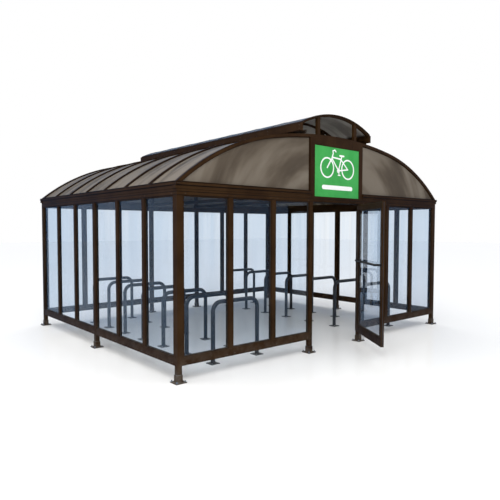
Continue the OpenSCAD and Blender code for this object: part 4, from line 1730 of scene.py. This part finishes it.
@dataclass
class Studio:
    """Plain floor, soft lights and the camera."""

    camera_at: Point = (-6.068, -7.387, 1.85)
    azimuth: float = -40.53
    pitch: float = 2.488
    roll: float = 0.094
    lens: float = 35.878
    reach: float = 60.0
    stone: Colour = (1.0, 0.995, 0.985)
    stone_mirrored: Colour = (0.10, 0.27, 0.52)
    lit: Colour = (1.045, 1.045, 1.045)
    mirrored: Colour = (0.02, 0.23, 0.60)

    def build(self) -> None:
        """Builds the floor, the world, the lights and the camera."""
        scene = bpy.context.scene
        scene.view_settings.view_transform = "Standard"
        self.floor(scene)
        self.sky(scene)
        self.lamp("key_lamp", (-7, -9, 9), 7.0, 560.0)
        self.lamp("side_lamp", (-11, 3, 7), 6.0, 180.0)
        data = bpy.data.cameras.new("camera")
        data.lens, data.sensor_width = self.lens, 36.0
        data.clip_start, data.clip_end = 0.05, 300.0
        camera = bpy.data.objects.new("camera", data)
        camera.location = self.camera_at
        turn = (Matrix.Rotation(math.radians(self.azimuth), 4, "Z")
                @ Matrix.Rotation(math.radians(90 - self.pitch), 4, "X")
                @ Matrix.Rotation(math.radians(self.roll), 4, "Z"))
        camera.rotation_euler = turn.to_euler()
        scene.collection.objects.link(camera)
        scene.camera = camera

    @staticmethod
    def in_mirror(n: Nodes) -> bpy.types.NodeSocket:
        """A mask of what is seen by reflection only.

        Args:
            n: the tree it goes into.

        Returns:
            The mask.
        """
        ray = n.add("LightPath")
        return n.maths("MULTIPLY", ray.outputs["Is Glossy Ray"], ray.outputs["Is Reflection Ray"])

    def floor(self, scene: bpy.types.Scene) -> None:
        """A pale, softly polished floor that glass and gloss mirror in blue.

        Args:
            scene: the scene it belongs to.
        """
        mesh = bpy.data.meshes.new("floor")
        r = self.reach
        mesh.from_pydata([(-r, -r, 0), (r, -r, 0), (r, r, 0), (-r, r, 0)], [], [(0, 1, 2, 3)])
        floor = bpy.data.objects.new("floor", mesh)
        scene.collection.objects.link(floor)
        stone = bpy.data.materials.new("pale_floor")
        stone.use_nodes = True
        n = Nodes(stone.node_tree)
        stone.node_tree.nodes.clear()
        matt, gloss, mix = n.add("BsdfDiffuse"), n.add("BsdfGlossy"), n.add("MixShader")
        matt.inputs["Color"].default_value = (*self.stone, 1)
        gloss.inputs["Color"].default_value = (1, 1, 1, 1)
        gloss.inputs["Roughness"].default_value = 0.16
        mix.inputs[0].default_value = 0.07
        n.put(matt.outputs[0], mix.inputs[1])
        n.put(gloss.outputs[0], mix.inputs[2])
        shade, seen = n.add("BsdfDiffuse"), n.add("MixShader")
        shade.inputs["Color"].default_value = (*self.stone_mirrored, 1)
        n.put(self.in_mirror(n), seen.inputs[0])
        n.put(mix.outputs[0], seen.inputs[1])
        n.put(shade.outputs[0], seen.inputs[2])
        n.put(seen.outputs[0], n.add("OutputMaterial").inputs["Surface"])
        mesh.materials.append(stone)

    def sky(self, scene: bpy.types.Scene) -> None:
        """A white surround that lights evenly and shows as clear sky in glossy surfaces.

        Args:
            scene: the scene it belongs to.
        """
        world = bpy.data.worlds.new("studio")
        world.use_nodes = True
        n = Nodes(world.node_tree)
        world.node_tree.nodes.clear()
        seen = n.add("LightPath").outputs["Is Camera Ray"]
        day = n.add("Background")
        day.inputs["Color"].default_value = (*self.lit, 1.0)
        surface = day.outputs[0]
        for colour, mask in ((self.mirrored, self.in_mirror(n)), ((1.0, 1.0, 1.0), seen)):
            light, mix = n.add("Background"), n.add("MixShader")
            light.inputs["Color"].default_value = (*colour, 1.0)
            n.put(mask, mix.inputs[0])
            n.put(surface, mix.inputs[1])
            n.put(light.outputs[0], mix.inputs[2])
            surface = mix.outputs[0]
        n.put(surface, n.add("OutputWorld").inputs["Surface"])
        scene.world = world

    @staticmethod
    def lamp(name: str, at: Point, size: float, power: float) -> None:
        """Adds a square soft lamp that looks at the shelter.

        Args:
            name: its name.
            at: its place.
            size: its side.
            power: its power in watts.
        """
        data = bpy.data.lights.new(name, "AREA")
        data.shape, data.size, data.energy = "SQUARE", size, power
        lamp = bpy.data.objects.new(name, data)
        lamp.location = at
        lamp.rotation_euler = (Vector((0, 0, 1.2)) - Vector(at)).to_track_quat("-Z", "Y").to_euler()
        bpy.context.scene.collection.objects.link(lamp)


def main() -> None:
    """Builds the studio, dresses the frame and adds each sub-assembly in order."""
    logging.basicConfig(level=logging.INFO, format="%(name)s: %(message)s")
    plan = Plan.read()
    arch = Arch(crown_z=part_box("end_arches")[1].z, foot=(plan.half_w - plan.arch_inset, plan.eave_top))
    Studio().build()
    Frame().dress()
    Walls(plan).build()
    Feet(plan).build()
    roof = Roof(plan, arch)
    roof.build()
    Gable(plan, arch).build()
    RidgeVent(plan, roof.rib_ys()).build()
    Inside(plan).build()
    Racks(plan).build()
    Door(plan).build()


if __name__ == "__main__":
    main()
